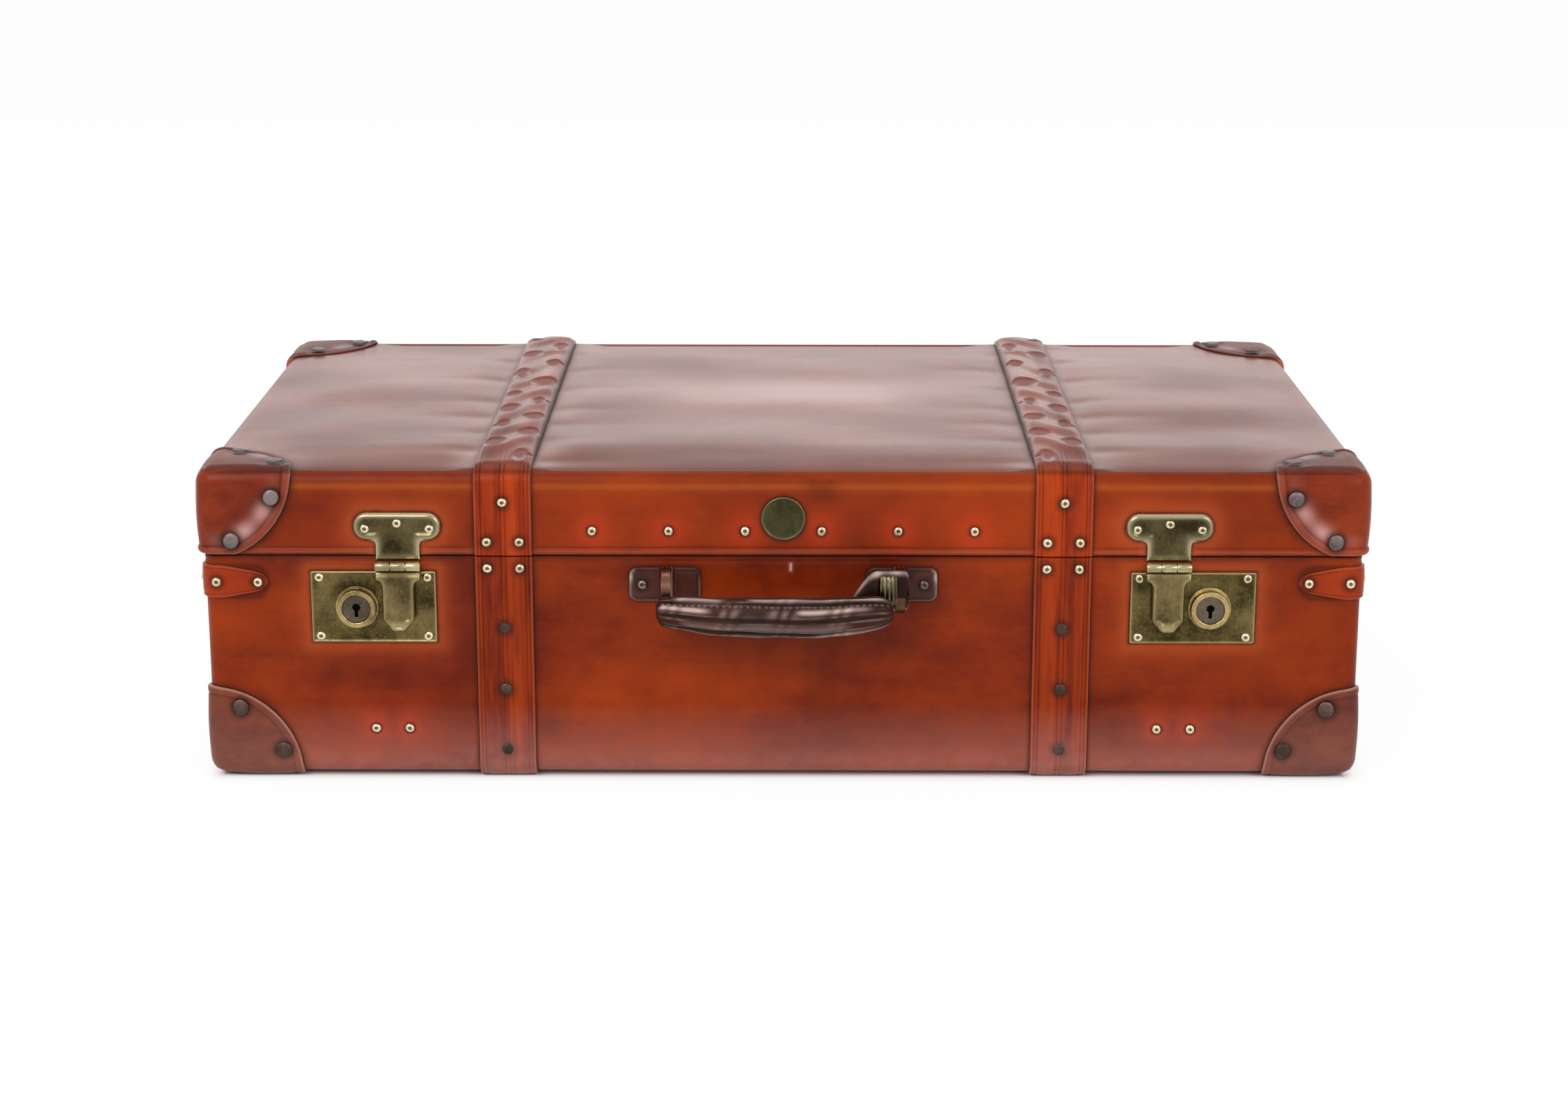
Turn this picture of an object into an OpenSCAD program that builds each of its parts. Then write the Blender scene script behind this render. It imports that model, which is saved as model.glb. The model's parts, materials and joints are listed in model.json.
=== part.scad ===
// Leather suitcase lying on its back: a deep base, a shallower hinged lid, two leather bands,
// corner caps, two locks with hinged hasps and a swinging handle.
// X runs across the front, Y runs from the front to the hinges, Z is up.
// The origin is on the floor, under the middle of the whole outline.

/* [Case] */
// Width of the base over its leather
case_w = 700; // [560:10:820]
// Depth of the base over its leather, front to back
case_d = 400; // [340:10:480]
// Height of the seam above the floor
seam_z = 141.5; // [130:0.5:180]
// Height of the lid's leather above the seam
lid_h = 52.5; // [48:0.5:80]
// How far the lid stands proud of the base on every side
lid_proud = 1; // [0.4:0.1:1.6]
// Radius of the case's edges and upright corners
edge_r = 9; // [6:0.5:10]
// Gap between lid and base at the seam
seam_gap = 0.6; // [0.4:0.1:1.5]

/* [Walls] */
// Thickness of the outer leather
leather_t = 3; // [2:0.5:4]
// Thickness of the board under the leather
board_t = 4; // [3.5:0.5:5]
// Thickness of the lining cloth on its paper
lining_t = 1; // [0.6:0.2:1.4]
// Thickness of the lip that the lid closes over
lip_t = 4; // [3:0.5:6]
// Height of the lip above the seam
lip_rise = 10; // [6:1:16]
// Depth of the lip below the seam
lip_drop = 36; // [20:2:60]

/* [Bands] */
// Distance of each band's centre line from its lock plate's middle
band_to_lock = 79; // [70:0.5:90]
// Width of a band
band_w = 34.5; // [30:0.5:40]
// Thickness of a band's leather
band_t = 2.5; // [1.5:0.5:3]
// Height of the padded stretch on top of the lid
pad_t = 4; // [3.5:0.5:6]
// Depth that each tuft is drawn in
tuft_depth = 2.6; // [1:0.2:3]
// Distance of the two tuft rows from the band's centre line
tuft_x = 9.8; // [7:0.2:11]
// Distance between tufts in a row
tuft_pitch = 56; // [40:1:70]

/* [Corner caps and tabs] */
// Reach of a corner cap from the corner along each edge
cap_reach = 56; // [40:1:60]
// Thickness of a corner cap
cap_t = 2.5; // [1.5:0.5:3]
// Length of a corner tab along the side
tab_l = 39; // [30:1:45]
// Height of a corner tab
tab_h = 20.5; // [16:0.5:24]
// Thickness of a corner tab
tab_t = 2; // [1:0.5:2.5]
// Height of the tabs' middle
tab_z = 125; // [110:0.5:128]

/* [Rivets and badge] */
// Diameter of a brass rivet's head
brass_head_d = 5.8; // [5:0.2:7]
// Diameter of an iron rivet's head
iron_head_d = 7; // [6:0.2:8]
// Diameter of a corner cap rivet's head
cap_head_d = 10; // [8:0.5:12]
// Rivets in the row along the lid's front
row_count = 6; // [4:2:8]
// Distance of the row's end rivets from the bands
row_margin = 36.25; // [20:0.25:50]
// Height of that row
row_z = 157; // [152:0.5:160]
// Diameter of the round badge
badge_d = 27; // [20:0.5:30]

/* [Locks] */
// Distance of a lock plate's middle from the end of the case
lock_end = 102.5; // [90:0.5:110]
// Height of a lock plate's middle
lock_z = 109.5; // [105:0.5:110]
// Width of a lock plate
plate_w = 76; // [72:0.5:80]
// Height of a lock plate
plate_h = 45; // [42:0.5:46]
// Thickness of a lock plate
plate_t = 1.2; // [0.8:0.1:1.6]
// Diameter of a lock button
button_d = 17; // [14:0.5:18]
// Travel of a lock button
button_travel = 2.5; // [1.5:0.1:3]
// Diameter of the collar round a lock button
collar_d = 23.4; // [22:0.2:25]
// Width of a hasp's upper plate
hasp_w = 53; // [48:0.5:58]
// Width of a hasp's neck and knuckles
neck_w = 27; // [24:0.5:30]
// Width of a hasp's flap
flap_w = 20; // [18:0.5:22]
// Length of a hasp's flap below its pin
flap_l = 40.5; // [36:0.5:41]

/* [Handle] */
// Distance of each ring from the middle of the case
ring_x = 70; // [60:1:90]
// Outer diameter of a handle ring
ring_d = 27; // [25:0.5:30]
// Width of a handle ring
ring_w = 6; // [4:0.5:8]
// Height of the rings' centre
handle_z = 124; // [116:0.5:126]
// Angle that the handle droops below level
droop = 18; // [5:1:30]
// Thickness of the grip at its ends
grip_t = 16; // [12:0.5:18]
// Height of the grip at its ends
grip_h = 20; // [16:0.5:22]
// How far the grip bellies out in the middle
belly = 2.5; // [0:0.5:4]

/* [Hinges] */
// Distance of each hinge from the end of the case
hinge_end = 118; // [100:1:140]
// Width of a hinge
hinge_w = 50; // [40:1:56]
// Diameter of the hinge and hasp knuckles
knuckle_d = 6.4; // [6:0.1:6.4]
// Diameter of the hinge and hasp pins
pin_d = 3; // [2.4:0.1:3.4]

/* [Hidden] */

// Leather colours and metals
case_brown = "#8a3516";
trim_brown = "#6f2b16";
band_brown = "#94391a";
grip_brown = "#3d211c";
cloth_colour = "#b39b74";
board_colour = "#a98a5e";
brass_colour = "#8d7f4c";
bright_brass = "#c9a968";
iron_colour = "#45403f";
cap_rivet_colour = "#80777c";
$fn = 48;

// Clearances
glue_gap = 0.1;
run_gap = 0.05;
side_gap = 0.4;
fold_gap = 0.3;
corner_steps = 6;
sphere_fn = 60;
over = 1;
lip_clear = 4;

// Levels and widths that follow from the driving sizes
foot_z = max(band_t, cap_t);
lid_z = seam_z + seam_gap;
lid_top = seam_z + lid_h;
lid_w = case_w + 2 * lid_proud;
lid_d = case_d + 2 * lid_proud;
lock_x = case_w / 2 - lock_end;
band_x = lock_x - band_to_lock;
hinge_x = case_w / 2 - hinge_end;
row_half = band_x - band_w / 2 - row_margin;
row_pitch = 2 * row_half / (row_count - 1);
front_y = -case_d / 2;
lid_front_y = -lid_d / 2;
wall_t = leather_t + board_t + glue_gap;
lining_low = seam_z + lip_rise + lip_clear;

// Rounded rectangle as a list of points, with an arc at each corner
function rounded(w, h, r) = [
    for (corner = [0:3])
        for (step = [0:corner_steps])
            let (turn = 90 * corner + 90 * step / corner_steps)
                [
                    (corner == 0 || corner == 3 ? 1 : -1) * (w / 2 - r) + r * cos(turn),
                    (corner < 2 ? 1 : -1) * (h / 2 - r) + r * sin(turn)
                ]
];

// Block with all its edges rounded, centred on Z's axis: three rounded prisms, one along each axis
module soft_block(w, d, low, high, r) {
    h = high - low;
    translate([0, 0, (low + high) / 2])
        intersection() {
            linear_extrude(h, center = true)
                polygon(rounded(w, d, r));
            rotate([90, 0, 0])
                linear_extrude(d, center = true)
                    polygon(rounded(w, h, r));
            rotate([90, 0, 90])
                linear_extrude(w, center = true)
                    polygon(rounded(d, h, r));
        }
}

// Everything between two levels
module slice(low, high) {
    intersection() {
        children();
        translate([-case_w, -case_d, low])
            cube([2 * case_w, 2 * case_d, high - low]);
    }
}

// The base's and the lid's outer form, grown outwards by an amount
module base_form(grow) {
    soft_block(case_w + 2 * grow, case_d + 2 * grow, foot_z - grow, lid_top, edge_r + grow);
}

module lid_form(grow) {
    soft_block(lid_w + 2 * grow, lid_d + 2 * grow, foot_z, lid_top + grow, edge_r + grow);
}

// Open tray of square-edged sheet: outer size, levels, wall and floor thickness
module tray(w, d, low, high, wall, floor_low) {
    difference() {
        translate([-w / 2, -d / 2, low])
            cube([w, d, high - low]);
        translate([-w / 2 + wall, -d / 2 + wall, floor_low ? low + wall : low - over])
            cube([w - 2 * wall, d - 2 * wall, high - low - wall + over]);
    }
}

// The window in the base's front for a lock case
module lock_windows() {
    for (side = [-1, 1])
        translate([side * lock_x - case_l / 2 - glue_gap, front_y - over, lock_z - case_h / 2 - glue_gap])
            cube([case_l + 2 * glue_gap, wall_t + over + glue_gap, case_h + 2 * glue_gap]);
}

// Base shell
board_gap = leather_t + glue_gap;
board_inside_w = case_w - 2 * (board_gap + board_t);
board_inside_d = case_d - 2 * (board_gap + board_t);
board_low = foot_z + board_gap;
floor_z = board_low + board_t;
lip_w = board_inside_w - 2 * glue_gap;
lip_d = board_inside_d - 2 * glue_gap;

board_w = case_w - 2 * board_gap;
board_d = case_d - 2 * board_gap;
panel_low = floor_z + glue_gap;

module base_board_floor() {
    color(board_colour)
        translate([-board_w / 2, -board_d / 2, board_low])
            cube([board_w, board_d, board_t]);
}

// Panel across the whole width, at the front or the rear
module long_panel(y) {
    translate([-board_w / 2, y, panel_low])
        cube([board_w, board_t, seam_z - panel_low]);
}

module base_board_front() {
    color(board_colour)
        difference() {
            long_panel(-board_d / 2);
            lock_windows();
        }
}

module base_board_rear() {
    color(board_colour)
        long_panel(board_d / 2 - board_t);
}

// End panel, between the two long ones
module base_board_end(side) {
    length = board_inside_d - 2 * glue_gap;
    color(board_colour)
        translate([side * (board_w - board_t) / 2 - board_t / 2, -length / 2, panel_low])
            cube([board_t, length, seam_z - panel_low]);
}

module base_leather() {
    color(case_brown)
        difference() {
            slice(0, seam_z)
                base_form(0);
            translate([-case_w / 2 + leather_t, front_y + leather_t, foot_z + leather_t])
                cube([case_w - 2 * leather_t, case_d - 2 * leather_t, seam_z]);
            lock_windows();
        }
}

module base_lining() {
    color(cloth_colour)
        tray(lip_w, lip_d, floor_z + glue_gap, seam_z - lip_drop - glue_gap, lining_t, true);
}

module base_lip() {
    color(band_brown)
        translate([0, 0, seam_z - lip_drop])
            linear_extrude(lip_drop + lip_rise)
                difference() {
                    square([lip_w, lip_d], center = true);
                    square([lip_w - 2 * lip_t, lip_d - 2 * lip_t], center = true);
                }
}

// Lid shell
lid_board_w = lid_w - 2 * board_gap;
lid_board_d = lid_d - 2 * board_gap;
lid_board_top = lid_top - board_gap;
lid_lining_w = lid_board_w - 2 * (board_t + glue_gap);
lid_lining_d = lid_board_d - 2 * (board_t + glue_gap);

module lid_board() {
    color(board_colour)
        tray(lid_board_w, lid_board_d, lid_z, lid_board_top, board_t, false);
}

module lid_leather() {
    color(case_brown)
        difference() {
            slice(lid_z, lid_top + over)
                lid_form(0);
            translate([-lid_w / 2 + leather_t, lid_front_y + leather_t, lid_z - over])
                cube([lid_w - 2 * leather_t, lid_d - 2 * leather_t, lid_h - seam_gap - leather_t + over]);
        }
}

module lid_lining() {
    color(cloth_colour)
        tray(lid_lining_w, lid_lining_d, lining_low, lid_board_top - board_t - glue_gap, lining_t, false);
}

// A hoop of band round the case, seen from the side, between two levels
module band_hoop(depth, low, high, r) {
    rotate([90, 0, 90])
        linear_extrude(band_w, center = true)
            translate([0, (low + high) / 2])
                difference() {
                    polygon(rounded(depth + 2 * band_t, high - low + 2 * band_t, r + band_t));
                    polygon(rounded(depth + 2 * glue_gap, high - low + 2 * glue_gap, r + glue_gap));
                }
}

module base_band(side) {
    color(band_brown)
        translate([side * band_x, 0, 0])
            slice(0, seam_z)
                band_hoop(case_d, foot_z, lid_top, edge_r);
}

// Depth positions of the tufts in the outer row; the inner row lies half a pitch further forward
pad_half = lid_d / 2 - 2 * edge_r;
tuft_count = floor((2 * pad_half - tuft_pitch / 2) / tuft_pitch);
tuft_r = 9;
tuft_ys = [for (i = [0:tuft_count]) tuft_pitch * (i - tuft_count / 2) + tuft_pitch / 4];

module lid_band(side) {
    pad_z = lid_top + pad_t;
    color(band_brown)
        translate([side * band_x, 0, 0])
            difference() {
                union() {
                    slice(lid_z, lid_top + band_t)
                        band_hoop(lid_d, foot_z, lid_top, edge_r);
                    translate([-band_w / 2, -pad_half, lid_top + glue_gap])
                        cube([band_w, 2 * pad_half, pad_t - glue_gap]);
                }
                for (y = tuft_ys, row = [0, 1])
                    translate([
                        side * tuft_x * (1 - 2 * row),
                        y - row * tuft_pitch / 2,
                        pad_z - tuft_depth + tuft_r
                    ])
                        sphere(tuft_r);
            }
}

// Corner caps: the leather's form grown by the cap, cut to a ball round the corner
module base_cap(side, back) {
    color(trim_brown)
        slice(0, seam_z)
            intersection() {
                difference() {
                    base_form(cap_t);
                    base_form(glue_gap);
                }
                translate([side * case_w / 2, back * case_d / 2, foot_z])
                    sphere(cap_reach, $fn = sphere_fn);
            }
}

module lid_cap(side, back) {
    color(trim_brown)
        slice(lid_z, lid_top + cap_t)
            intersection() {
                difference() {
                    lid_form(cap_t);
                    lid_form(glue_gap);
                }
                translate([side * lid_w / 2, back * lid_d / 2, lid_top])
                    sphere(cap_reach, $fn = sphere_fn);
            }
}

// One leg of a corner tab, seen from the front: square at the corner and rounded at its tip
tip_r = 0.34 * tab_h;

module tab_leg(corner_x) {
    reach = 2 * edge_r;
    rotate([90, 0, 0])
        linear_extrude(2 * reach, center = true)
            polygon(concat(
                [
                    [-corner_x - tab_t - over, tab_z + tab_h / 2],
                    [-corner_x - tab_t - over, tab_z - tab_h / 2],
                    [-corner_x + tab_l / 2, tab_z - tab_h / 2]
                ],
                [
                    for (turn = [-70:20:70])
                        [-corner_x + tab_l - tip_r + tip_r * cos(turn), tab_z + tip_r * sin(turn)]
                ],
                [[-corner_x + tab_l / 2, tab_z + tab_h / 2]]
            ));
}

module corner_tab(side, back) {
    color(band_brown)
        scale([-side, -back, 1])
            intersection() {
                linear_extrude(seam_z)
                    difference() {
                        polygon(rounded(case_w + 2 * tab_t, case_d + 2 * tab_t, edge_r + tab_t));
                        polygon(rounded(case_w + 2 * glue_gap, case_d + 2 * glue_gap, edge_r + glue_gap));
                    }
                union() {
                    translate([0, front_y, 0])
                        tab_leg(case_w / 2);
                    translate([-case_w / 2, 0, 0])
                        rotate([0, 0, 90])
                            scale([1, -1, 1])
                                tab_leg(case_d / 2);
                }
            }
}

// Rivet: a domed head with a small pit, on a shank that runs inwards. It points to -Y.
module rivet(head_d, shank_l, pit = true) {
    head_h = 0.2 * head_d;
    dome_r = (head_d * head_d / 4 + head_h * head_h) / (2 * head_h);
    rotate([90, 0, 0])
        difference() {
            union() {
                intersection() {
                    translate([0, 0, head_h - dome_r])
                        sphere(dome_r);
                    cylinder(d = head_d, h = head_h + over);
                }
                translate([0, 0, -shank_l])
                    cylinder(d = 0.42 * head_d, h = shank_l + head_h / 2);
            }
            if (pit)
                translate([0, 0, 0.6 * head_h])
                    cylinder(d = 0.22 * head_d, h = head_h);
        }
}

// Places a child on the base's or lid's front at each point, and one on the back if asked
module on_front(points, y) {
    for (p = points)
        translate([p[0], y, p[1]])
            children();
}

module on_back(points, y) {
    for (p = points)
        translate([p[0], -y, p[1]])
            rotate([0, 0, 180])
                children();
}

brass_shank = 5;
base_band_face = front_y - band_t;
lid_band_face = lid_front_y - band_t;
band_rivet_dx = 9.8;
band_rivet_drop = 7.5;
low_pair_in = 9;
low_pair_pitch = 20.5;
low_pair_z = 32;
iron_top_z = 96.5;
iron_pitch = 38.5;
tab_rivets = [8, 33];
tab_side_shift = 4;
lid_rivet_mid = 33;
lid_rivet_low = 8.5;
badge_rise = 8;

module base_brass_rivets() {
    pairs = [
        for (side = [-1, 1], end = [-1, 1])
            [side * band_x + end * band_rivet_dx, seam_z - band_rivet_drop]
    ];
    low = [
        for (side = [-1, 1], end = [-1, 1])
            [side * (lock_x - low_pair_in) + end * low_pair_pitch / 2, low_pair_z]
    ];
    color(bright_brass) {
        on_front(pairs, base_band_face)
            rivet(brass_head_d, brass_shank);
        on_back(pairs, base_band_face)
            rivet(brass_head_d, brass_shank);
        on_front(low, front_y)
            rivet(brass_head_d, brass_shank);
        for (side = [-1, 1], back = [-1, 1], reach = tab_rivets)
            scale([side, -back, 1]) {
                translate([case_w / 2 - reach, front_y - tab_t, tab_z])
                    rivet(brass_head_d, brass_shank);
                translate([case_w / 2 + tab_t, front_y + reach + tab_side_shift, tab_z])
                    rotate([0, 0, 90])
                        rivet(brass_head_d, brass_shank);
            }
        for (side = [-1, 1])
            hinge_rivets(side, -1);
    }
}

module base_iron_rivets() {
    spots = [for (side = [-1, 1], i = [0:2]) [side * band_x, iron_top_z - i * iron_pitch]];
    color(iron_colour) {
        on_front(spots, base_band_face)
            rivet(iron_head_d, brass_shank);
        on_back(spots, base_band_face)
            rivet(iron_head_d, brass_shank);
    }
}

module lid_brass_rivets() {
    mid_z = lid_z + lid_rivet_mid;
    low_z = lid_z + lid_rivet_low;
    bands = [
        for (side = [-1, 1], p = [[0, mid_z], [-band_rivet_dx, low_z], [band_rivet_dx, low_z]])
            [side * band_x + p[0], p[1]]
    ];
    row = [for (i = [0:row_count - 1]) [i * row_pitch - row_half, row_z]];
    color(bright_brass) {
        on_front(bands, lid_band_face)
            rivet(brass_head_d, brass_shank);
        on_back(bands, lid_band_face)
            rivet(brass_head_d, brass_shank);
        on_front(row, lid_front_y)
            rivet(brass_head_d, brass_shank);
        for (side = [-1, 1])
            hinge_rivets(side, 1);
    }
}

// Rivets of a cap: two on each of its three faces, near its curved edge
cap_rivet_r = 0.84 * cap_reach;
cap_rivet_turns = [20, 66];

module cap_rivets(w, d, corner_z, face_z, up) {
    for (side = [-1, 1], back = [-1, 1], turn = cap_rivet_turns)
        scale([side, -back, 1]) {
            translate([w / 2 - cap_rivet_r * cos(turn), -d / 2 - cap_t, corner_z - up * cap_rivet_r * sin(turn)])
                rivet(cap_head_d, brass_shank, false);
            translate([w / 2 + cap_t, -d / 2 + cap_rivet_r * cos(turn), corner_z - up * cap_rivet_r * sin(turn)])
                rotate([0, 0, 90])
                    rivet(cap_head_d, brass_shank, false);
            if (up > 0)
                translate([w / 2 - cap_rivet_r * cos(turn), -d / 2 + cap_rivet_r * sin(turn), face_z])
                    rotate([-90, 0, 0])
                        rivet(cap_head_d, brass_shank, false);
        }
}

module base_cap_rivets() {
    color(cap_rivet_colour)
        cap_rivets(case_w, case_d, foot_z, 0, -1);
}

module lid_cap_rivets() {
    color(cap_rivet_colour)
        cap_rivets(lid_w, lid_d, lid_top, lid_top + cap_t, 1);
}

module badge() {
    badge_t = 1.2;
    rim_w = 0.9;
    color(brass_colour)
        translate([0, lid_front_y, row_z + badge_rise])
            rotate([90, 0, 0])
                difference() {
                    cylinder(d = badge_d, h = badge_t);
                    translate([0, 0, badge_t - 0.4])
                        cylinder(d = badge_d - 2 * rim_w, h = over);
                }
}

// Locks. Each is drawn for the right side, its button outboard and its hasp inboard.
button_dx = 10;
hasp_dx = -15.5;
rivet_inset_x = 5.4;
rivet_inset_z = 4.1;
case_inset_x = 8;
case_inset_z = 6.5;
case_sheet = 1;
rim_w = 1.4;
rim_t = 0.5;
case_l = plate_w - 2 * case_inset_x;
case_h = plate_h - 2 * case_inset_z;
lock_rivet_dx = plate_w / 2 - rivet_inset_x;
lock_rivet_dz = plate_h / 2 - rivet_inset_z;
plate_face = front_y - plate_t;
collar_l = 6.2;
button_hole_d = button_d + 2 * run_gap;
button_back = front_y + 0.4;
slot_w = 8;
slot_h = 3.4;
slot_z = lock_z - 8;
bolt_t = 2;
bolt_h = 8;
case_back = front_y + leather_t + board_t - case_sheet;

module at_lock(side) {
    scale([side, 1, 1])
        translate([lock_x, 0, lock_z])
            children();
}

module lock_plate(side) {
    color(brass_colour)
        difference() {
            at_lock(side) {
                translate([-plate_w / 2, plate_face, -plate_h / 2])
                    cube([plate_w, plate_t, plate_h]);
                difference() {
                    translate([-plate_w / 2, plate_face - rim_t, -plate_h / 2])
                        cube([plate_w, rim_t + plate_t / 2, plate_h]);
                    translate([-plate_w / 2 + rim_w, plate_face - over, -plate_h / 2 + rim_w])
                        cube([plate_w - 2 * rim_w, 2 * over + plate_t, plate_h - 2 * rim_w]);
                }
            }
            at_lock(side) {
                translate([button_dx, front_y + over, 0])
                    rotate([90, 0, 0])
                        cylinder(d = button_hole_d, h = plate_t + 2 * over);
                for (dx = [-1, 1], dz = [-1, 1])
                    translate([dx * lock_rivet_dx, front_y + over, dz * lock_rivet_dz])
                        rotate([90, 0, 0])
                            cylinder(d = 0.42 * brass_head_d + 2 * glue_gap, h = plate_t + 2 * over);
                translate([hasp_dx - slot_w / 2, plate_face - over, slot_z - lock_z - slot_h / 2])
                    cube([slot_w, plate_t + 2 * over, slot_h]);
            }
        }
}

module lock_collar(side) {
    flange_t = 1;
    color(bright_brass)
        at_lock(side)
            translate([button_dx, plate_face, 0])
                rotate([90, 0, 0])
                    difference() {
                        union() {
                            cylinder(d = collar_d, h = collar_l);
                            cylinder(d = collar_d + 3, h = flange_t);
                        }
                        translate([0, 0, -over])
                            cylinder(d = button_hole_d, h = collar_l + 2 * over);
                    }
}

module lock_button(side) {
    key_d = 4.6;
    key_w = 2;
    key_l = 6;
    key_depth = 4;
    face = plate_face - collar_l + 0.8;
    color(brass_colour)
        at_lock(side)
            difference() {
                translate([button_dx, button_back, 0])
                    rotate([90, 0, 0])
                        cylinder(d = button_d, h = button_back - face);
                translate([button_dx, face + key_depth, 1])
                    rotate([90, 0, 0])
                        cylinder(d = key_d, h = key_depth + over);
                translate([button_dx - key_w / 2, face - over, 1 - key_l])
                    cube([key_w, key_depth + over, key_l]);
            }
}

module lock_case(side) {
    depth = case_back + case_sheet - front_y - glue_gap;
    color(iron_colour)
        at_lock(side)
            difference() {
                translate([-case_l / 2, front_y + glue_gap, -case_h / 2])
                    cube([case_l, depth, case_h]);
                translate([-case_l / 2 + case_sheet, front_y - over, -case_h / 2 + case_sheet])
                    cube([case_l - 2 * case_sheet, case_back - front_y + over, case_h - 2 * case_sheet]);
            }
}

module lock_bolt(side) {
    bolt_l = 34;
    bolt_low = hasp_dx - 3;
    color(iron_colour)
        at_lock(side)
            translate([bolt_low, case_back - fold_gap - bolt_t, slot_z - lock_z - bolt_h / 2])
                cube([bolt_l, bolt_t, bolt_h]);
}

module lock_rivets() {
    color(bright_brass)
        for (side = [-1, 1])
            at_lock(side)
                for (dx = [-1, 1], dz = [-1, 1])
                    translate([dx * lock_rivet_dx, plate_face, dz * lock_rivet_dz])
                        rivet(brass_head_d, brass_shank);
}

// Hasps: a T-shaped plate on the lid, and a flap on a pin just below the seam
knuckle_r = knuckle_d / 2;
hasp_y = lid_front_y - knuckle_r;
hasp_z = seam_z - 6;
hasp_t = 1.6;
wing_z = seam_z + 18.5;
wing_h = 17.5;
flap_t = 1.6;
flap_back = hasp_y + flap_t / 2;
hasp_rivet_dx = 19.5;
mid_knuckle = neck_w / 3;

// Half-width steps of the knuckle along X: outer ones belong to the plate, the middle to the flap
module knuckle(from, to) {
    translate([from, hasp_y, hasp_z])
        rotate([0, 90, 0])
            cylinder(d = knuckle_d, h = to - from);
}

module hasp_bore() {
    translate([-neck_w, hasp_y, hasp_z])
        rotate([0, 90, 0])
            cylinder(d = pin_d + 2 * run_gap, h = 2 * neck_w);
}

module at_hasp(side) {
    translate([side * (lock_x + hasp_dx), 0, 0])
        children();
}

module hasp_plate(side) {
    rivets = [[-hasp_rivet_dx, -1.5], [0, 2], [hasp_rivet_dx, -1.5]];
    color(brass_colour)
        at_hasp(side)
            difference() {
                union() {
                    translate([-hasp_w / 2 + wing_h / 2, lid_front_y - hasp_t, wing_z - wing_h / 2])
                        cube([hasp_w - wing_h, hasp_t, wing_h]);
                    for (end = [-1, 1])
                        translate([end * (hasp_w - wing_h) / 2, lid_front_y, wing_z])
                            rotate([90, 0, 0])
                                cylinder(d = wing_h, h = hasp_t);
                    translate([-neck_w / 2, lid_front_y - hasp_t, hasp_z + knuckle_r])
                        cube([neck_w, hasp_t, wing_z - hasp_z - knuckle_r]);
                    for (end = [-1, 1])
                        scale([end, 1, 1]) {
                            knuckle(mid_knuckle / 2 + side_gap, neck_w / 2);
                            translate([mid_knuckle / 2 + side_gap, lid_front_y - hasp_t, hasp_z])
                                cube([neck_w / 2 - mid_knuckle / 2 - side_gap, hasp_t, knuckle_d]);
                        }
                }
                hasp_bore();
                for (p = rivets)
                    translate([p[0], lid_front_y + over, wing_z + p[1]])
                        rotate([90, 0, 0])
                            cylinder(d = 0.42 * brass_head_d + 2 * glue_gap, h = hasp_t + 2 * over);
                translate([-mid_knuckle / 2 - side_gap, hasp_y, hasp_z])
                    rotate([0, 90, 0])
                        cylinder(r = knuckle_r + fold_gap, h = mid_knuckle + 2 * side_gap);
            }
}

module hasp_rivets() {
    color(bright_brass)
        for (side = [-1, 1])
            at_hasp(side)
                for (p = [[-hasp_rivet_dx, -1.5], [0, 2], [hasp_rivet_dx, -1.5]])
                    translate([p[0], lid_front_y - hasp_t, wing_z + p[1]])
                        rivet(brass_head_d, brass_shank);
}

module hasp_flap(side) {
    toe_w = 10;
    toe_l = 3.5;
    shoulder = 4;
    low = hasp_z - flap_l;
    staple_w = 6;
    staple_h = 2.6;
    color(brass_colour)
        at_hasp(side)
            difference() {
                union() {
                    knuckle(-mid_knuckle / 2, mid_knuckle / 2);
                    translate([0, flap_back, 0])
                        rotate([90, 0, 0])
                            linear_extrude(flap_t)
                                polygon([
                                    [-mid_knuckle / 2, hasp_z],
                                    [-mid_knuckle / 2, hasp_z - knuckle_r - fold_gap],
                                    [-neck_w / 2, hasp_z - knuckle_r - fold_gap],
                                    [-neck_w / 2, hasp_z - knuckle_r - 1.5],
                                    [-flap_w / 2, hasp_z - knuckle_r - 1.5 - shoulder],
                                    [-flap_w / 2, low + toe_l + 3],
                                    [-toe_w / 2, low + toe_l],
                                    [-toe_w / 2, low],
                                    [toe_w / 2, low],
                                    [toe_w / 2, low + toe_l],
                                    [flap_w / 2, low + toe_l + 3],
                                    [flap_w / 2, hasp_z - knuckle_r - 1.5 - shoulder],
                                    [neck_w / 2, hasp_z - knuckle_r - 1.5],
                                    [neck_w / 2, hasp_z - knuckle_r - fold_gap],
                                    [mid_knuckle / 2, hasp_z - knuckle_r - fold_gap],
                                    [mid_knuckle / 2, hasp_z]
                                ]);
                    translate([-staple_w / 2, flap_back, slot_z - staple_h / 2])
                        cube([staple_w, plate_face - fold_gap - flap_back, staple_h]);
                }
                hasp_bore();
            }
}

module hasp_pins() {
    color(bright_brass)
        for (side = [-1, 1])
            at_hasp(side)
                translate([-neck_w / 2, hasp_y, hasp_z])
                    rotate([0, 90, 0])
                        cylinder(d = pin_d, h = neck_w);
}

// Rear hinges: leaves on the back faces, knuckles outside them on the seam's level
hinge_y = lid_d / 2 + knuckle_r;
hinge_z = seam_z;
leaf_t = 1.2;
leaf_l = 22;
hinge_knuckles = 5;
hinge_rivet_dx = 17;
hinge_rivet_dz = 15;

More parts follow.
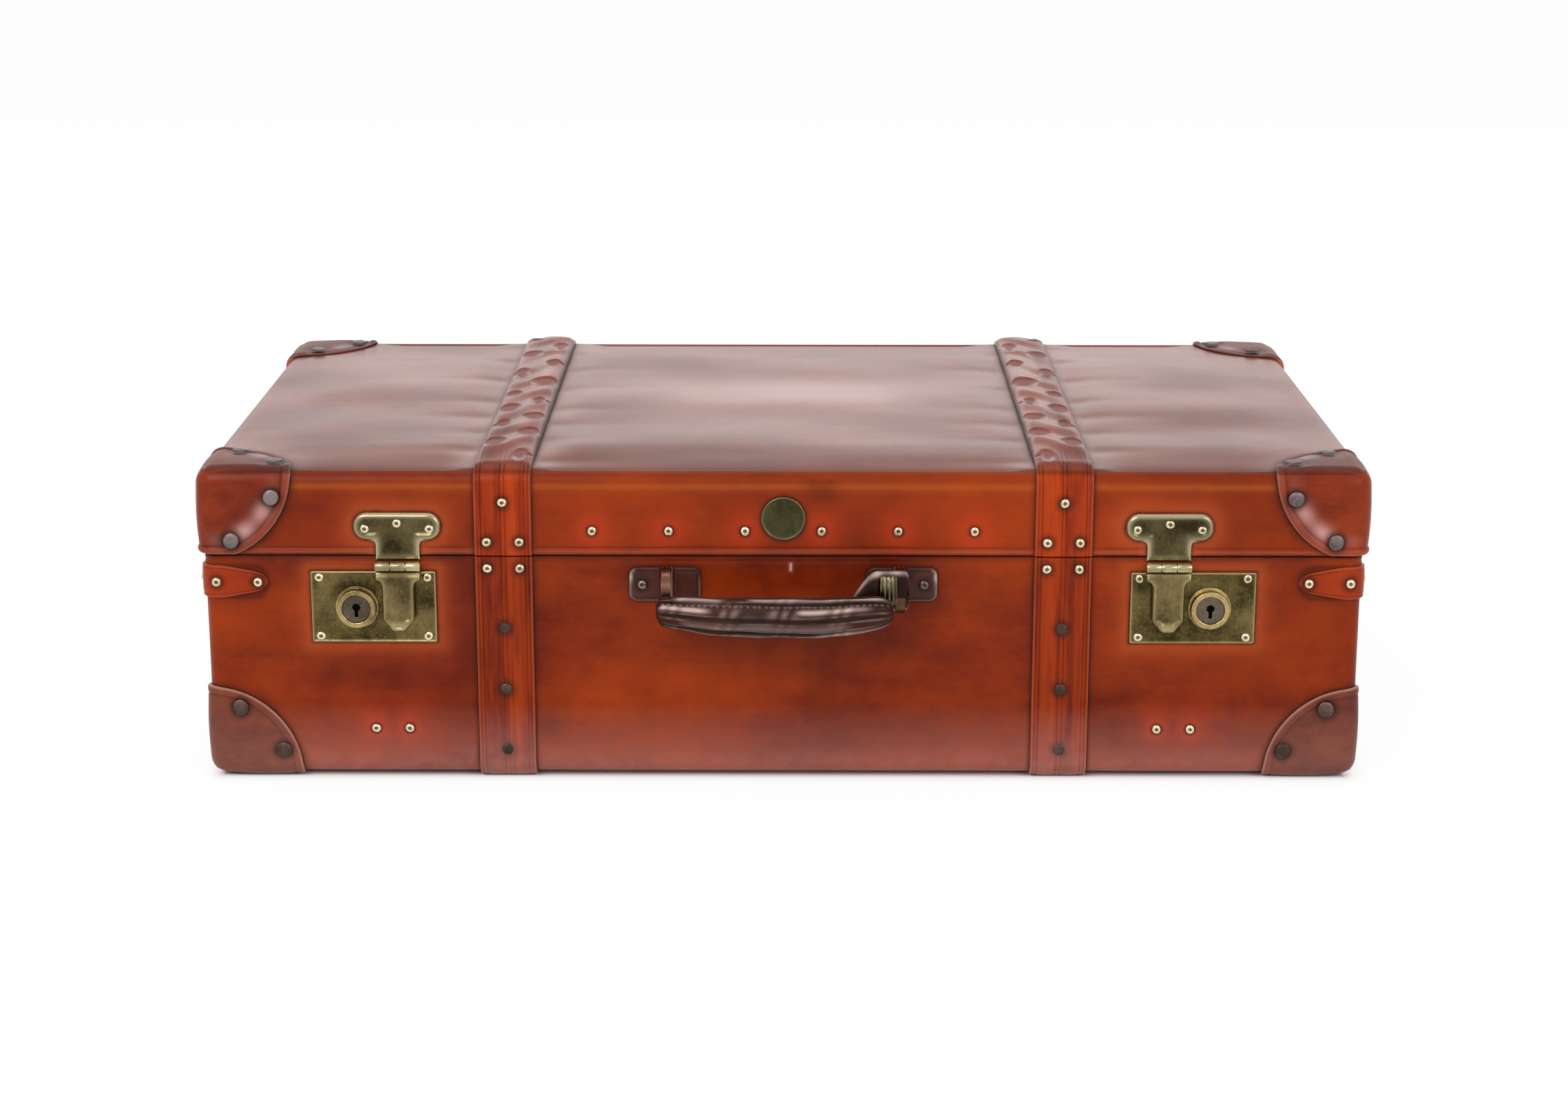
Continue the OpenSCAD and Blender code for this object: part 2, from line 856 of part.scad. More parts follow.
module hinge_leaf(face_y, direction, first) {
    knuckle_w = hinge_w / hinge_knuckles;
    difference() {
        union() {
            translate([-hinge_w / 2, face_y, direction > 0 ? hinge_z + knuckle_r : hinge_z - knuckle_r - leaf_l])
                cube([hinge_w, leaf_t, leaf_l]);
            for (i = [first:2:hinge_knuckles - 1])
                translate([-hinge_w / 2 + i * knuckle_w + side_gap / 2, 0, 0]) {
                    translate([0, hinge_y, hinge_z])
                        rotate([0, 90, 0])
                            cylinder(d = knuckle_d, h = knuckle_w - side_gap);
                    translate([0, face_y, direction > 0 ? hinge_z : hinge_z - knuckle_d])
                        cube([knuckle_w - side_gap, leaf_t + 1, knuckle_d]);
                }
        }
        translate([-hinge_w, hinge_y, hinge_z])
            rotate([0, 90, 0])
                cylinder(d = pin_d + 2 * run_gap, h = 2 * hinge_w);
        for (end = [-1, 1])
            translate([end * hinge_rivet_dx, face_y - over, hinge_z + direction * hinge_rivet_dz])
                rotate([-90, 0, 0])
                    cylinder(d = 0.42 * brass_head_d + 2 * glue_gap, h = leaf_t + 2 * over);
    }
}

module hinge_rivets(side, direction) {
    face = (direction > 0 ? lid_d : case_d) / 2 + leaf_t;
    for (end = [-1, 1])
        translate([side * hinge_x + end * hinge_rivet_dx, face, hinge_z + direction * hinge_rivet_dz])
            rotate([0, 0, 180])
                rivet(brass_head_d, brass_shank);
}

module hinge_leaves(direction) {
    first = direction > 0 ? 1 : 0;
    face = (direction > 0 ? lid_d : case_d) / 2;
    color(brass_colour)
        for (side = [-1, 1])
            translate([side * hinge_x, 0, 0])
                hinge_leaf(face, direction, first);
}

module hinge_pins() {
    color(bright_brass)
        for (side = [-1, 1])
            translate([side * hinge_x - hinge_w / 2, hinge_y, hinge_z])
                rotate([0, 90, 0])
                    cylinder(d = pin_d, h = hinge_w);
}

// Handle. It turns about the rings' common centre line, which runs along X.
ring_r = ring_d / 2;
ring_wall = 1.8;
handle_y = front_y - side_gap - ring_r;
tunnel_in = ring_r - ring_wall - fold_gap;
tunnel_out = ring_r + fold_gap;
strap_t = 2.4;
loop_half = ring_w / 2 + side_gap + strap_t;
chape_half_h = 10.5;
chape_out = 23;
chape_in = 20;
chape_t = 2.2;
chape_rise = 6.4;
loop_angle = 32;
grip_end = ring_x + 4;

// Free annular way for the ring through a leather loop
module ring_tunnel() {
    rotate([0, 90, 0])
        difference() {
            cylinder(r = tunnel_out, h = ring_w + 2 * side_gap, center = true);
            cylinder(r = tunnel_in, h = ring_w + 4 * side_gap, center = true);
        }
}

module at_ring(side) {
    scale([side, 1, 1])
        translate([ring_x, handle_y, handle_z])
            children();
}

module handle_chape(side) {
    back = front_y - handle_y - glue_gap;
    color(grip_brown)
        at_ring(side)
            difference() {
                union() {
                    translate([-chape_in, back - chape_t, -chape_half_h])
                        cube([chape_in + chape_out - chape_half_h / 2, chape_t, 2 * chape_half_h]);
                    translate([chape_out - chape_half_h / 2, back, 0])
                        intersection() {
                            translate([0, 0, -chape_half_h])
                                mirror([0, 1, 0])
                                    cube([chape_half_h, chape_t, 2 * chape_half_h]);
                            translate([-1.5 * chape_half_h, 0, 0])
                                rotate([90, 0, 0])
                                    cylinder(r = 2 * chape_half_h, h = chape_t);
                        }
                    translate([-loop_half, back - chape_rise, -chape_half_h + 1])
                        cube([2 * loop_half, chape_rise, 2 * chape_half_h - 2]);
                }
                ring_tunnel();
            }
}

module chape_rivets() {
    color(iron_colour)
        for (side = [-1, 1])
            at_ring(side)
                translate([chape_out - 8, front_y - handle_y - glue_gap - chape_t, 0])
                    rivet(brass_head_d, brass_shank);
}

module handle_ring(side) {
    color(brass_colour)
        at_ring(side)
            rotate([0, 90, 0])
                difference() {
                    cylinder(r = ring_r, h = ring_w, center = true);
                    cylinder(r = ring_r - ring_wall, h = ring_w + over, center = true);
                }
}

// A wedge of leather wrapped round the front of the ring, on the handle's side
module handle_loop(side) {
    color(grip_brown)
        at_ring(side)
            rotate([droop, 0, 0])
                difference() {
                    rotate([0, 90, 0])
                        rotate([0, 0, -90 - loop_angle])
                            rotate_extrude(angle = 2 * loop_angle)
                                translate([tunnel_in - strap_t, -loop_half])
                                    square([ring_wall + 2 * fold_gap + 2 * strap_t, 2 * loop_half]);
                    ring_tunnel();
                }
}

// The grip: rings of points along X, each an oval that swells towards the middle
grip_rings = 15;
grip_sides = 20;
grip_start = tunnel_out + strap_t + glue_gap;
swell_t = 0.1 * grip_t;
swell_h = 0.08 * grip_h;

function grip_swell(t) = 1 - t * t;

function grip_point(t, turn) =
    let (
        half_t = grip_t / 2 + swell_t * grip_swell(t),
        half_h = grip_h / 2 + swell_h * grip_swell(t),
        out = grip_start + half_t + belly * grip_swell(t)
    )
        [t * grip_end, -out + half_t * cos(turn), half_h * sin(turn)];

module handle_grip() {
    points = [
        for (ring = [0:grip_rings - 1])
            for (side = [0:grip_sides - 1])
                grip_point(2 * ring / (grip_rings - 1) - 1, 360 * side / grip_sides)
    ];
    walls = [
        for (ring = [0:grip_rings - 2])
            for (side = [0:grip_sides - 1])
                let (
                    a = ring * grip_sides + side,
                    b = ring * grip_sides + (side + 1) % grip_sides
                )
                    for (face = [[a, a + grip_sides, b], [b, a + grip_sides, b + grip_sides]])
                        face
    ];
    first = [for (side = [0:grip_sides - 1]) side];
    last = [for (side = [grip_sides - 1:-1:0]) (grip_rings - 1) * grip_sides + side];
    color(grip_brown)
        translate([0, handle_y, handle_z])
            rotate([droop, 0, 0])
                polyhedron(points, concat(walls, [first, last]));
}

// The whole outline is centred over the origin
middle_t = grip_t / 2 + swell_t;
middle_h = grip_h / 2 + swell_h;
grip_reach = (grip_start + middle_t + belly) * cos(droop)
    + sqrt(pow(middle_t * cos(droop), 2) + pow(middle_h * sin(droop), 2));
front_reach = -handle_y + grip_reach;
back_reach = hinge_y + knuckle_r;

module place() {
    translate([0, (front_reach - back_reach) / 2, 0])
        children();
}

place() base_board_floor();
place() base_board_front();
place() base_board_rear();
place() base_board_end(-1);  // base_board_left
place() base_board_end(1);  // base_board_right
place() base_leather();
place() base_lining();
place() base_lip();
place() base_band(-1);  // base_band_left
place() base_band(1);  // base_band_right
place() base_cap(-1, -1);  // base_cap_front_left
place() base_cap(1, -1);  // base_cap_front_right
place() base_cap(-1, 1);  // base_cap_rear_left
place() base_cap(1, 1);  // base_cap_rear_right
place() corner_tab(-1, -1);  // corner_tab_front_left
place() corner_tab(1, -1);  // corner_tab_front_right
place() corner_tab(-1, 1);  // corner_tab_rear_left
place() corner_tab(1, 1);  // corner_tab_rear_right
place() lock_plate(-1);  // lock_plate_left
place() lock_plate(1);  // lock_plate_right
place() lock_collar(-1);  // lock_collar_left
place() lock_collar(1);  // lock_collar_right
place() lock_case(-1);  // lock_case_left
place() lock_case(1);  // lock_case_right
place() lock_button(-1);  // lock_button_left
place() lock_button(1);  // lock_button_right
place() lock_bolt(-1);  // lock_bolt_left
place() lock_bolt(1);  // lock_bolt_right
place() lock_rivets();
place() base_brass_rivets();
place() base_iron_rivets();
place() base_cap_rivets();
place() handle_chape(-1);  // handle_chape_left
place() handle_chape(1);  // handle_chape_right
place() chape_rivets();
place() handle_ring(-1);  // handle_ring_left
place() handle_ring(1);  // handle_ring_right
place() handle_loop(-1);  // handle_loop_left
place() handle_loop(1);  // handle_loop_right
place() handle_grip();
place() hinge_leaves(-1);  // hinge_base_leaves
place() hinge_leaves(1);  // hinge_lid_leaves
place() hinge_pins();
place() lid_board();
place() lid_leather();
place() lid_lining();
place() lid_band(-1);  // lid_band_left
place() lid_band(1);  // lid_band_right
place() lid_cap(-1, -1);  // lid_cap_front_left
place() lid_cap(1, -1);  // lid_cap_front_right
place() lid_cap(-1, 1);  // lid_cap_rear_left
place() lid_cap(1, 1);  // lid_cap_rear_right
place() lid_brass_rivets();
place() lid_cap_rivets();
place() badge();
place() hasp_plate(-1);  // hasp_plate_left
place() hasp_plate(1);  // hasp_plate_right
place() hasp_rivets();
place() hasp_pins();
place() hasp_flap(-1);  // hasp_flap_left
place() hasp_flap(1);  // hasp_flap_right
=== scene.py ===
"""Looks of the leather suitcase: skins, bands, caps, tabs, locks, handle, lining and their finishes."""
import json
import math

import bmesh
import bpy
import numpy as np
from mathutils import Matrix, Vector


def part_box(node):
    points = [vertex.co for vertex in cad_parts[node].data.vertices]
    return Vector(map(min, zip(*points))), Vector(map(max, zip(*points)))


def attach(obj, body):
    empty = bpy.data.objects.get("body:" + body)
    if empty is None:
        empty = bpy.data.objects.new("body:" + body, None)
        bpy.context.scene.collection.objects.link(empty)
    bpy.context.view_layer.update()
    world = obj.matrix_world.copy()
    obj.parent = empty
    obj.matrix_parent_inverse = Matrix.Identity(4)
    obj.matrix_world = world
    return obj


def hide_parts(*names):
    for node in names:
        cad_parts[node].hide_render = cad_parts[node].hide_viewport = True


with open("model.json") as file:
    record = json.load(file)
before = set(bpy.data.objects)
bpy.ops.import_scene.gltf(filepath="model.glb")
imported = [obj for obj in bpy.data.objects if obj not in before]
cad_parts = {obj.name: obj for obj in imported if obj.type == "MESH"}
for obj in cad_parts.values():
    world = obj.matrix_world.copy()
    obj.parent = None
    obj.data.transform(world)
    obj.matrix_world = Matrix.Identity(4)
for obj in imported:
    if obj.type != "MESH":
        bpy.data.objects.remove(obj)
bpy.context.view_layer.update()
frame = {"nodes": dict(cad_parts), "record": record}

MM = 0.001
WELD = 2e-6  # points nearer than this are one point
HAIR = 1e-6  # less than this is nought
SIDES = {"left": -1, "right": 1}
DEPTHS = {"front": -1, "rear": 1}


def box_of(node):
    """Low and high corner of a CAD node."""
    low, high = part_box(node)
    return np.array(low), np.array(high)


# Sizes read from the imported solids, then sizes of the leather: the rounding of the box's edges, the
# thickness of skins, bands and caps, the reach of a cap from its corner, and the gap under a strap
base_low, base_high = box_of("base_leather")
lid_low, lid_high = box_of("lid_leather")
band_low, band_high = box_of("lid_band_right")
mid_y = (base_low[1] + base_high[1]) / 2
band_x = (band_low[0] + band_high[0]) / 2
band_half = (band_high[0] - band_low[0]) / 2
pad_t = band_high[2] - lid_high[2]
edge_r = 9 * MM
leather_t = 3 * MM
band_t = 2.5 * MM
cap_reach = 56 * MM
cap_t = 2.5 * MM
under_gap = 0.1 * MM


# Rivets

def points_of(mesh):
    points = np.empty(len(mesh.vertices) * 3)
    mesh.vertices.foreach_get("co", points)
    return points.reshape(-1, 3)


def islands(node):
    """Boxes of a CAD node's separate solids: each triangle's points take their lowest label, over and
    over, until the labels stand still."""
    mesh = frame["nodes"][node].data
    points = points_of(mesh)
    corners = np.empty(len(mesh.loops), np.int32)
    mesh.loops.foreach_get("vertex_index", corners)
    unique, label = np.unique((points / WELD).round().astype(np.int64), axis=0, return_inverse=True)
    tris = label.ravel()[corners].reshape(-1, 3)
    labels = np.arange(len(unique))
    while True:
        least = labels[tris].min(axis=1)
        spread = labels.copy()
        for k in range(3):
            np.minimum.at(spread, tris[:, k], least)
        spread = spread[spread]
        if np.array_equal(spread, labels):
            break
        labels = spread
    groups = np.unique(labels)
    places = unique * WELD
    return [(places[labels == g].min(axis=0), places[labels == g].max(axis=0)) for g in groups]


def rivet_spots(node, head_d):
    """Foot of each rivet's head on the leather, and the way it points, from the solid's box and the
    outer face of the case that lies nearest."""
    spots, ways = [], []
    outer_low = np.minimum(base_low, lid_low)
    outer_high = np.maximum(base_high, lid_high)
    for low, high in islands(node):
        centre = (low + high) / 2
        to_face = np.concatenate([centre - outer_low, outer_high - centre])
        nearest = int(np.argmin(to_face))
        axis, sign = nearest % 3, (-1 if nearest < 3 else 1)
        way = np.zeros(3)
        way[axis] = sign
        foot = centre.copy()
        foot[axis] = (high if sign > 0 else low)[axis] - sign * HEAD_RISE * head_d
        spots.append(foot)
        ways.append(way)
    return np.array(spots), np.array(ways)


HEAD_RISE = 0.2  # height of a full head as a share of its diameter
RIVET_D = {
    "lock_rivets": 5.8 * MM, "base_brass_rivets": 5.8 * MM, "base_iron_rivets": 7 * MM,
    "base_cap_rivets": 10 * MM, "chape_rivets": 5.8 * MM, "lid_brass_rivets": 5.8 * MM,
    "lid_cap_rivets": 10 * MM, "hasp_rivets": 5.8 * MM,
}
RIVETS = {node: rivet_spots(node, head_d) for node, head_d in RIVET_D.items()}


def halo_of(points, width=2.4 * MM):
    """Nearness to the rivets' heads: 1 beside a head, fading within about the width."""
    flat = points.reshape(-1, 3)
    gap = np.full(len(flat), 1.0)
    for node, (feet, _) in RIVETS.items():
        for foot in feet:
            gap = np.minimum(gap, np.linalg.norm(flat - foot, axis=1) - RIVET_D[node] / 2)
    return bell(np.maximum(gap, 0), width).reshape(points.shape[:-1])


# Meshes from grids

def add_object(name, data):
    thing = bpy.data.objects.new(name, data)
    bpy.context.scene.collection.objects.link(thing)
    return thing


def add_layer(mesh, key, values):
    """A float attribute on a mesh's points."""
    layer = mesh.attributes.new(key, "FLOAT", "POINT")
    layer.data.foreach_set("value", np.asarray(values, np.float32).ravel())


def mesh_from(name, points, faces, attributes=None):
    """A mesh object from whole arrays of points and faces, with float attributes on its points."""
    mesh = bpy.data.meshes.new(name)
    mesh.vertices.add(len(points))
    mesh.vertices.foreach_set("co", np.asarray(points, np.float32).ravel())
    loops = faces.shape[1]
    mesh.loops.add(faces.size)
    mesh.loops.foreach_set("vertex_index", faces.astype(np.int32).ravel())
    mesh.polygons.add(len(faces))
    mesh.polygons.foreach_set("loop_start", np.arange(len(faces), dtype=np.int32) * loops)
    mesh.update(calc_edges=True)
    for key, values in (attributes or {}).items():
        add_layer(mesh, key, values)
    return add_object(name, mesh)


def grid_faces(rows, columns, wrap_rows=False, wrap_columns=False, start=0):
    """Quads between neighbours of a grid of points, in row order."""
    i = np.arange(rows if wrap_rows else rows - 1)
    j = np.arange(columns if wrap_columns else columns - 1)
    i, j = np.meshgrid(i, j, indexing="ij")
    i, j = i.ravel(), j.ravel()
    up, across = (i + 1) % rows, (j + 1) % columns
    corners = [i * columns + j, up * columns + j, up * columns + across, i * columns + across]
    return np.stack(corners, axis=1) + start


def finish_mesh(thing, smooth_angle=40):
    """Welds doubles, drops faces without area, points the faces outwards and shades smoothly."""
    work = bmesh.new()
    work.from_mesh(thing.data)
    bmesh.ops.remove_doubles(work, verts=work.verts, dist=WELD)
    bmesh.ops.dissolve_degenerate(work, dist=WELD, edges=work.edges)
    bmesh.ops.recalc_face_normals(work, faces=work.faces)
    work.to_mesh(thing.data)
    work.free()
    thing.data.shade_smooth()
    if smooth_angle:
        thing.data.set_sharp_from_angle(angle=math.radians(smooth_angle))
    return thing


def grid_piece(name, grid, wrap_rows=False, wrap_columns=False, attributes=None, smooth_angle=40):
    """A piece from one grid of points, closed where its edges meet."""
    rows, columns = grid.shape[:2]
    faces = grid_faces(rows, columns, wrap_rows, wrap_columns)
    thing = mesh_from(name, grid.reshape(-1, 3), faces, attributes)
    return finish_mesh(thing, smooth_angle=smooth_angle)


def finish_in(thing, material):
    thing.data.materials.clear()
    thing.data.materials.append(material)


def dress(thing, body, slot, material, *nodes):
    """Rides a piece on its body, gives it its finish and hides the solids it stands for; the slot is not
    used.
    """
    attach(thing, body)
    if nodes:
        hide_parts(*nodes)
    finish_in(thing, material)
    return thing


def with_ends(first, grid, last):
    """A grid with one more row before it and one after it."""
    return np.concatenate([first[:1], grid, last[-1:]], axis=0)


def smooth_step(x, low, high):
    """0 below low, 1 above high, and a smooth rise between."""
    t = np.clip((x - low) / (high - low), 0, 1)
    return t * t * (3 - 2 * t)


def bell(x, width):
    """1 at 0, falling smoothly on both sides within about the width."""
    return np.exp(-(x / width) ** 2)


def full_turn(count):
    """Angles evenly round a whole turn."""
    return np.linspace(0, 2 * math.pi, count, endpoint=False)


def crowded(count):
    """Places from -1 to 1 that lie closer towards both ends."""
    return np.sin(np.linspace(-math.pi / 2, math.pi / 2, count))


def rounded_rise(inset, radius):
    """Quarter-round edge: 0 at the edge, 1 once the inset reaches the radius."""
    return np.sqrt(np.clip(1 - (1 - np.clip(inset / radius, 0, 1)) ** 2, 0, 1))


# Soft relief of the leather

wave_random = np.random.default_rng(11)
WAVES = [
    (wave_random.uniform(20, 75), wave_random.normal(math.pi / 2, 0.32), wave_random.uniform(0, 2 * math.pi))
    for _ in range(14)
]


def gentle_waves(a, b):
    """Sum of sines that mostly run across the depth, between about -1 and 1."""
    total, most = np.zeros_like(a), 0
    for pitch, heading, phase in WAVES:
        weight = pitch ** -0.7
        total += weight * np.sin(pitch * (a * math.cos(heading) + b * math.sin(heading)) + phase)
        most += weight
    return total / (0.5 * most)


# Tufts of a padded band: how far the two rows lie from the band's middle, their places along Y, given
# from the middle of the lid, and where the padding begins and ends
TUFT_DX = 9.0 * MM
OUTER_TUFTS = mid_y + MM * np.array([-148, -99, -54, -8, 58, 122, 176])
INNER_TUFTS = mid_y + MM * np.array([-178, -121, -76, -31, 30, 92, 150])
pad_front = lid_low[1] + 8.5 * MM
pad_rear = lid_high[1] - 13 * MM


def lid_top_height(x, y):
    """Height of the lid's top above flat: crowned panels that fall away to the edges, gentle waves, and
    creases pulled in beside each tuft. It sinks under the bands, the caps and along the edges."""
    ends = np.minimum(x - lid_low[0], lid_high[0] - x)
    sides = np.minimum(y - lid_low[1], lid_high[1] - y)
    inside = smooth_step(ends, 8 * MM, 60 * MM) * smooth_step(sides, 12 * MM, 46 * MM)
    crown = 2.0 * MM * smooth_step(sides, 10 * MM, 70 * MM) * smooth_step(ends, 6 * MM, 80 * MM) - 0.4 * MM
    crown = crown - 3.0 * MM * np.exp(-np.clip(sides, 0, None) / (9 * MM))
    swell = 1.3 * MM * gentle_waves(x, y) * inside
    beside = np.abs(np.abs(x) - band_x) - band_half
    near_band = np.exp(-np.clip(beside, 0, None) / (26 * MM)) * smooth_step(sides, 8 * MM, 30 * MM)
    pull = np.zeros_like(x)
    for row, on_side in ((OUTER_TUFTS, np.abs(x) > band_x), (INNER_TUFTS, np.abs(x) <= band_x)):
        for y0 in row:
            pull += on_side * bell(y - y0, 10 * MM)
    free = smooth_step(beside, -1 * MM, 26 * MM)
    clear = smooth_step(beside, -1 * MM, 5 * MM)
    height = (crown + swell) * free - 0.9 * MM * pull * near_band * clear
    corner = np.hypot(ends, sides)
    return height * smooth_step(corner, cap_reach - 14 * MM, cap_reach + 24 * MM)


# Skins

def graded(low, high, step, extra=()):
    """Coordinates along one edge of the box: close steps in the rounding, even steps between."""
    arc = edge_r * (1 - np.tan(np.linspace(45, 0, 7) * math.pi / 180))
    middle = np.linspace(low + edge_r, high - edge_r, max(2, int((high - low - 2 * edge_r) / step)))
    return np.unique(np.concatenate([low + arc, middle, high - arc, np.asarray(extra, float)]).round(6))


def box_skin(name, low, high, top_open, step, relief, lines):
    """A box's faces as grids, each point drawn back to the box shrunk by the edge radius and pushed
    out again by that radius, which rounds the edges; relief then moves it along its normal. The open
    side is left out, and the walls run straight to it. Lines are extra levels for tooled grooves."""
    far_low, far_high = low.copy(), high.copy()
    if top_open:
        far_high[2] += 2 * edge_r
    else:
        far_low[2] -= 2 * edge_r
    xs, ys = graded(low[0], high[0], step), graded(low[1], high[1], step)
    zs = graded(far_low[2], far_high[2], step, lines)
    zs = zs[(zs <= high[2] - HAIR) if top_open else (zs >= low[2] + HAIR)]
    zs = np.append(zs, high[2]) if top_open else np.append(low[2], zs)
    spans = (xs, ys, zs)
    points, faces, count = [], [], 0
    for axis in range(3):
        a_axis, b_axis = [k for k in range(3) if k != axis]
        for end in (0, 1):
            if axis == 2 and (end == 1) == top_open:
                continue
            a, b = np.meshgrid(spans[a_axis], spans[b_axis], indexing="ij")
            grid = np.zeros(a.shape + (3,))
            grid[..., a_axis], grid[..., b_axis] = a, b
            grid[..., axis] = (far_low, far_high)[end][axis]
            points.append(grid.reshape(-1, 3))
            faces.append(grid_faces(*a.shape, start=count))
            count += a.size
    points, faces = np.concatenate(points), np.concatenate(faces)
    core = np.clip(points, far_low + edge_r, far_high - edge_r)
    away = points - core
    normal = away / np.linalg.norm(away, axis=1, keepdims=True)
    points = core + edge_r * normal
    points = points + normal * relief(points, normal)[:, None]
    thing = finish_mesh(mesh_from(name, points, faces), smooth_angle=0)
    wall = thing.modifiers.new("wall", "SOLIDIFY")
    wall.thickness = leather_t - 0.1 * MM
    wall.offset = -1
    return thing


def wall_unevenness(points, normal, seam):
    """Slight unevenness of the upright faces, gone at the seam."""
    calm = smooth_step(np.abs(points[:, 2] - seam), 2 * MM, 16 * MM)
    along = points[:, 0] + points[:, 1]
    waves = 1 + gentle_waves(2.0 * points[:, 2], 1.4 * along)
    return -0.14 * MM * waves * calm * (1 - np.abs(normal[:, 2]))


LID_LINE = 4.4 * MM
BASE_LINE = 3.6 * MM


def base_relief(points, normal):
    """Uneven walls with a tooled line below the seam."""
    tooled = 0.3 * MM * bell(points[:, 2] - (base_high[2] - BASE_LINE), 0.6 * MM)
    return wall_unevenness(points, normal, base_high[2]) - tooled


def lid_relief(points, normal):
    """The crowned top, and a tooled line with a bead below it along the lid's rim."""
    top = smooth_step(normal[:, 2], 0.9, 0.999)
    upright = 1 - np.abs(normal[:, 2])
    tooled = 0.45 * MM * bell(points[:, 2] - (lid_low[2] + LID_LINE), 0.7 * MM) * upright
    bead = 0.25 * MM * bell(points[:, 2] - (lid_low[2] + 0.45 * LID_LINE), 1.2 * MM) * upright
    lift = top * lid_top_height(points[:, 0], points[:, 1])
    return wall_unevenness(points, normal, lid_low[2]) - tooled + bead + lift


def tooled_levels(level):
    """Close levels of points where a tooled line needs them."""
    return level + MM * np.array([-1.8, -1.2, -0.8, -0.4, 0, 0.4, 0.8, 1.2, 1.8])


# Ribbons of leather laid on a path

def ribbon(name, centre, side, normal, half_width, height, across, attributes=None):
    """A closed strip along a path: across it, from -1 to 1 of the half width, goes the outer face at the
    given height, then the face underneath, back again; the first and last rows are drawn down to the
    underside to close the ends."""
    top = centre[:, None] + side[:, None] * (across[None] * half_width[:, None])[..., None]
    outer = top + normal[:, None] * height[..., None]
    beneath = (top + normal[:, None] * under_gap)[:, ::-1]
    flat = np.concatenate([beneath[:, ::-1], beneath], axis=1)
    grid = with_ends(flat, np.concatenate([outer, beneath], axis=1), flat)
    layers = {}
    # Each ribbon also carries nearness to the rivet heads, for painted shade and grime round them
    for key, values in {**(attributes or {}), "rivet_shade_and_grime": halo_of(outer)}.items():
        full = np.concatenate([values, values[:, ::-1]], axis=1)
        layers[key] = with_ends(full, full, full)
    return grid_piece(name, grid, wrap_columns=True, attributes=layers, smooth_angle=50)


def strap_profile(half_width, thickness, lines, columns=31):
    """Places across a strap, its height there and how far each is in a tooled groove: rounded edges and
    fine grooves at the given distances from both edges, slightly crowned."""
    edge = 0.9 * MM
    offsets = np.array([-0.55, -0.3, 0, 0.3, 0.55]) * MM
    marks = [half_width - edge * np.array([0, 0.08, 0.25, 0.55, 1.0])]
    marks += [half_width - inset + offsets for inset in lines]
    right = np.concatenate(marks) / half_width
    u = np.unique(np.concatenate([np.linspace(-1, 1, columns), right, -right]).round(5))
    inset = (1 - np.abs(u)) * half_width
    groove = sum(bell(inset - line, 0.34 * MM) for line in lines)
    crown = 0.25 * MM * smooth_step(inset, 0, 0.6 * half_width)
    height = thickness * (0.35 + 0.65 * rounded_rise(inset, edge)) - 0.42 * MM * groove - 0.25 * MM + crown
    return u, np.maximum(height, under_gap + 0.2 * MM), groove


def hoop_path(level, start_z, depth_low, depth_high, step=2.5 * MM):
    """Half a hoop round a box in the YZ plane: along the front from start_z, round the edge, along the
    level and back along the rear. Gives points and outward normals."""
    sign = 1 if level > start_z else -1
    turn = np.linspace(0, math.pi / 2, 13)
    wall = np.arange(0, abs(level - start_z) - edge_r, step)
    front = np.stack([np.full_like(wall, depth_low), start_z + sign * wall], 1)
    front_n = np.tile([-1.0, 0.0], (len(wall), 1))
    bend = np.stack([-np.cos(turn), sign * np.sin(turn)], 1)
    corner = np.array([depth_low + edge_r, level - sign * edge_r]) + edge_r * bend
    top = np.arange(depth_low + edge_r + step, depth_high - edge_r - step / 2, step)
    flat = np.stack([top, np.full_like(top, level)], 1)
    flat_n = np.tile([0.0, float(sign)], (len(top), 1))
    mirror = np.array([-1, 1])
    half, half_n = np.concatenate([front, corner]), np.concatenate([front_n, bend])
    back = half[::-1] * mirror + [depth_low + depth_high, 0]
    path = np.concatenate([half, flat, back])
    normals = np.concatenate([half_n, flat_n, half_n[::-1] * mirror])
    return path, normals


def hoop_frame(path, normals, x):
    """Centre, side and normal arrays in space for a hoop at x."""
    centre = np.column_stack([np.full(len(path), x), path])
    side = np.tile([1.0, 0.0, 0.0], (len(path), 1))
    normal = np.column_stack([np.zeros(len(path)), normals])
    return centre, side, normal


BAND_LINES = (1.9 * MM, 4.1 * MM, band_half - 1.3 * MM)


def base_band(side_name):
    """Strap that runs down the base's front, under it and up its back."""
    path, normals = hoop_path(base_low[2], base_high[2] - 0.3 * MM, base_low[1], base_high[1])
    u, height, groove = strap_profile(band_half, band_t, BAND_LINES)
    rows = np.tile(height, (len(path), 1))
    layers = {
        "groove": np.tile(groove, (len(path), 1)),
        "edge": np.tile(bell((1 - np.abs(u)) * band_half, 0.9 * MM), (len(path), 1)),
    }
    piece = ribbon("base_band_" + side_name + "_strap", *hoop_frame(path, normals, SIDES[side_name] * band_x),
                   np.full(len(path), band_half), rows, u, attributes=layers)
    return dress(piece, "base", "band_leather", base_band_leather, "base_band_" + side_name)


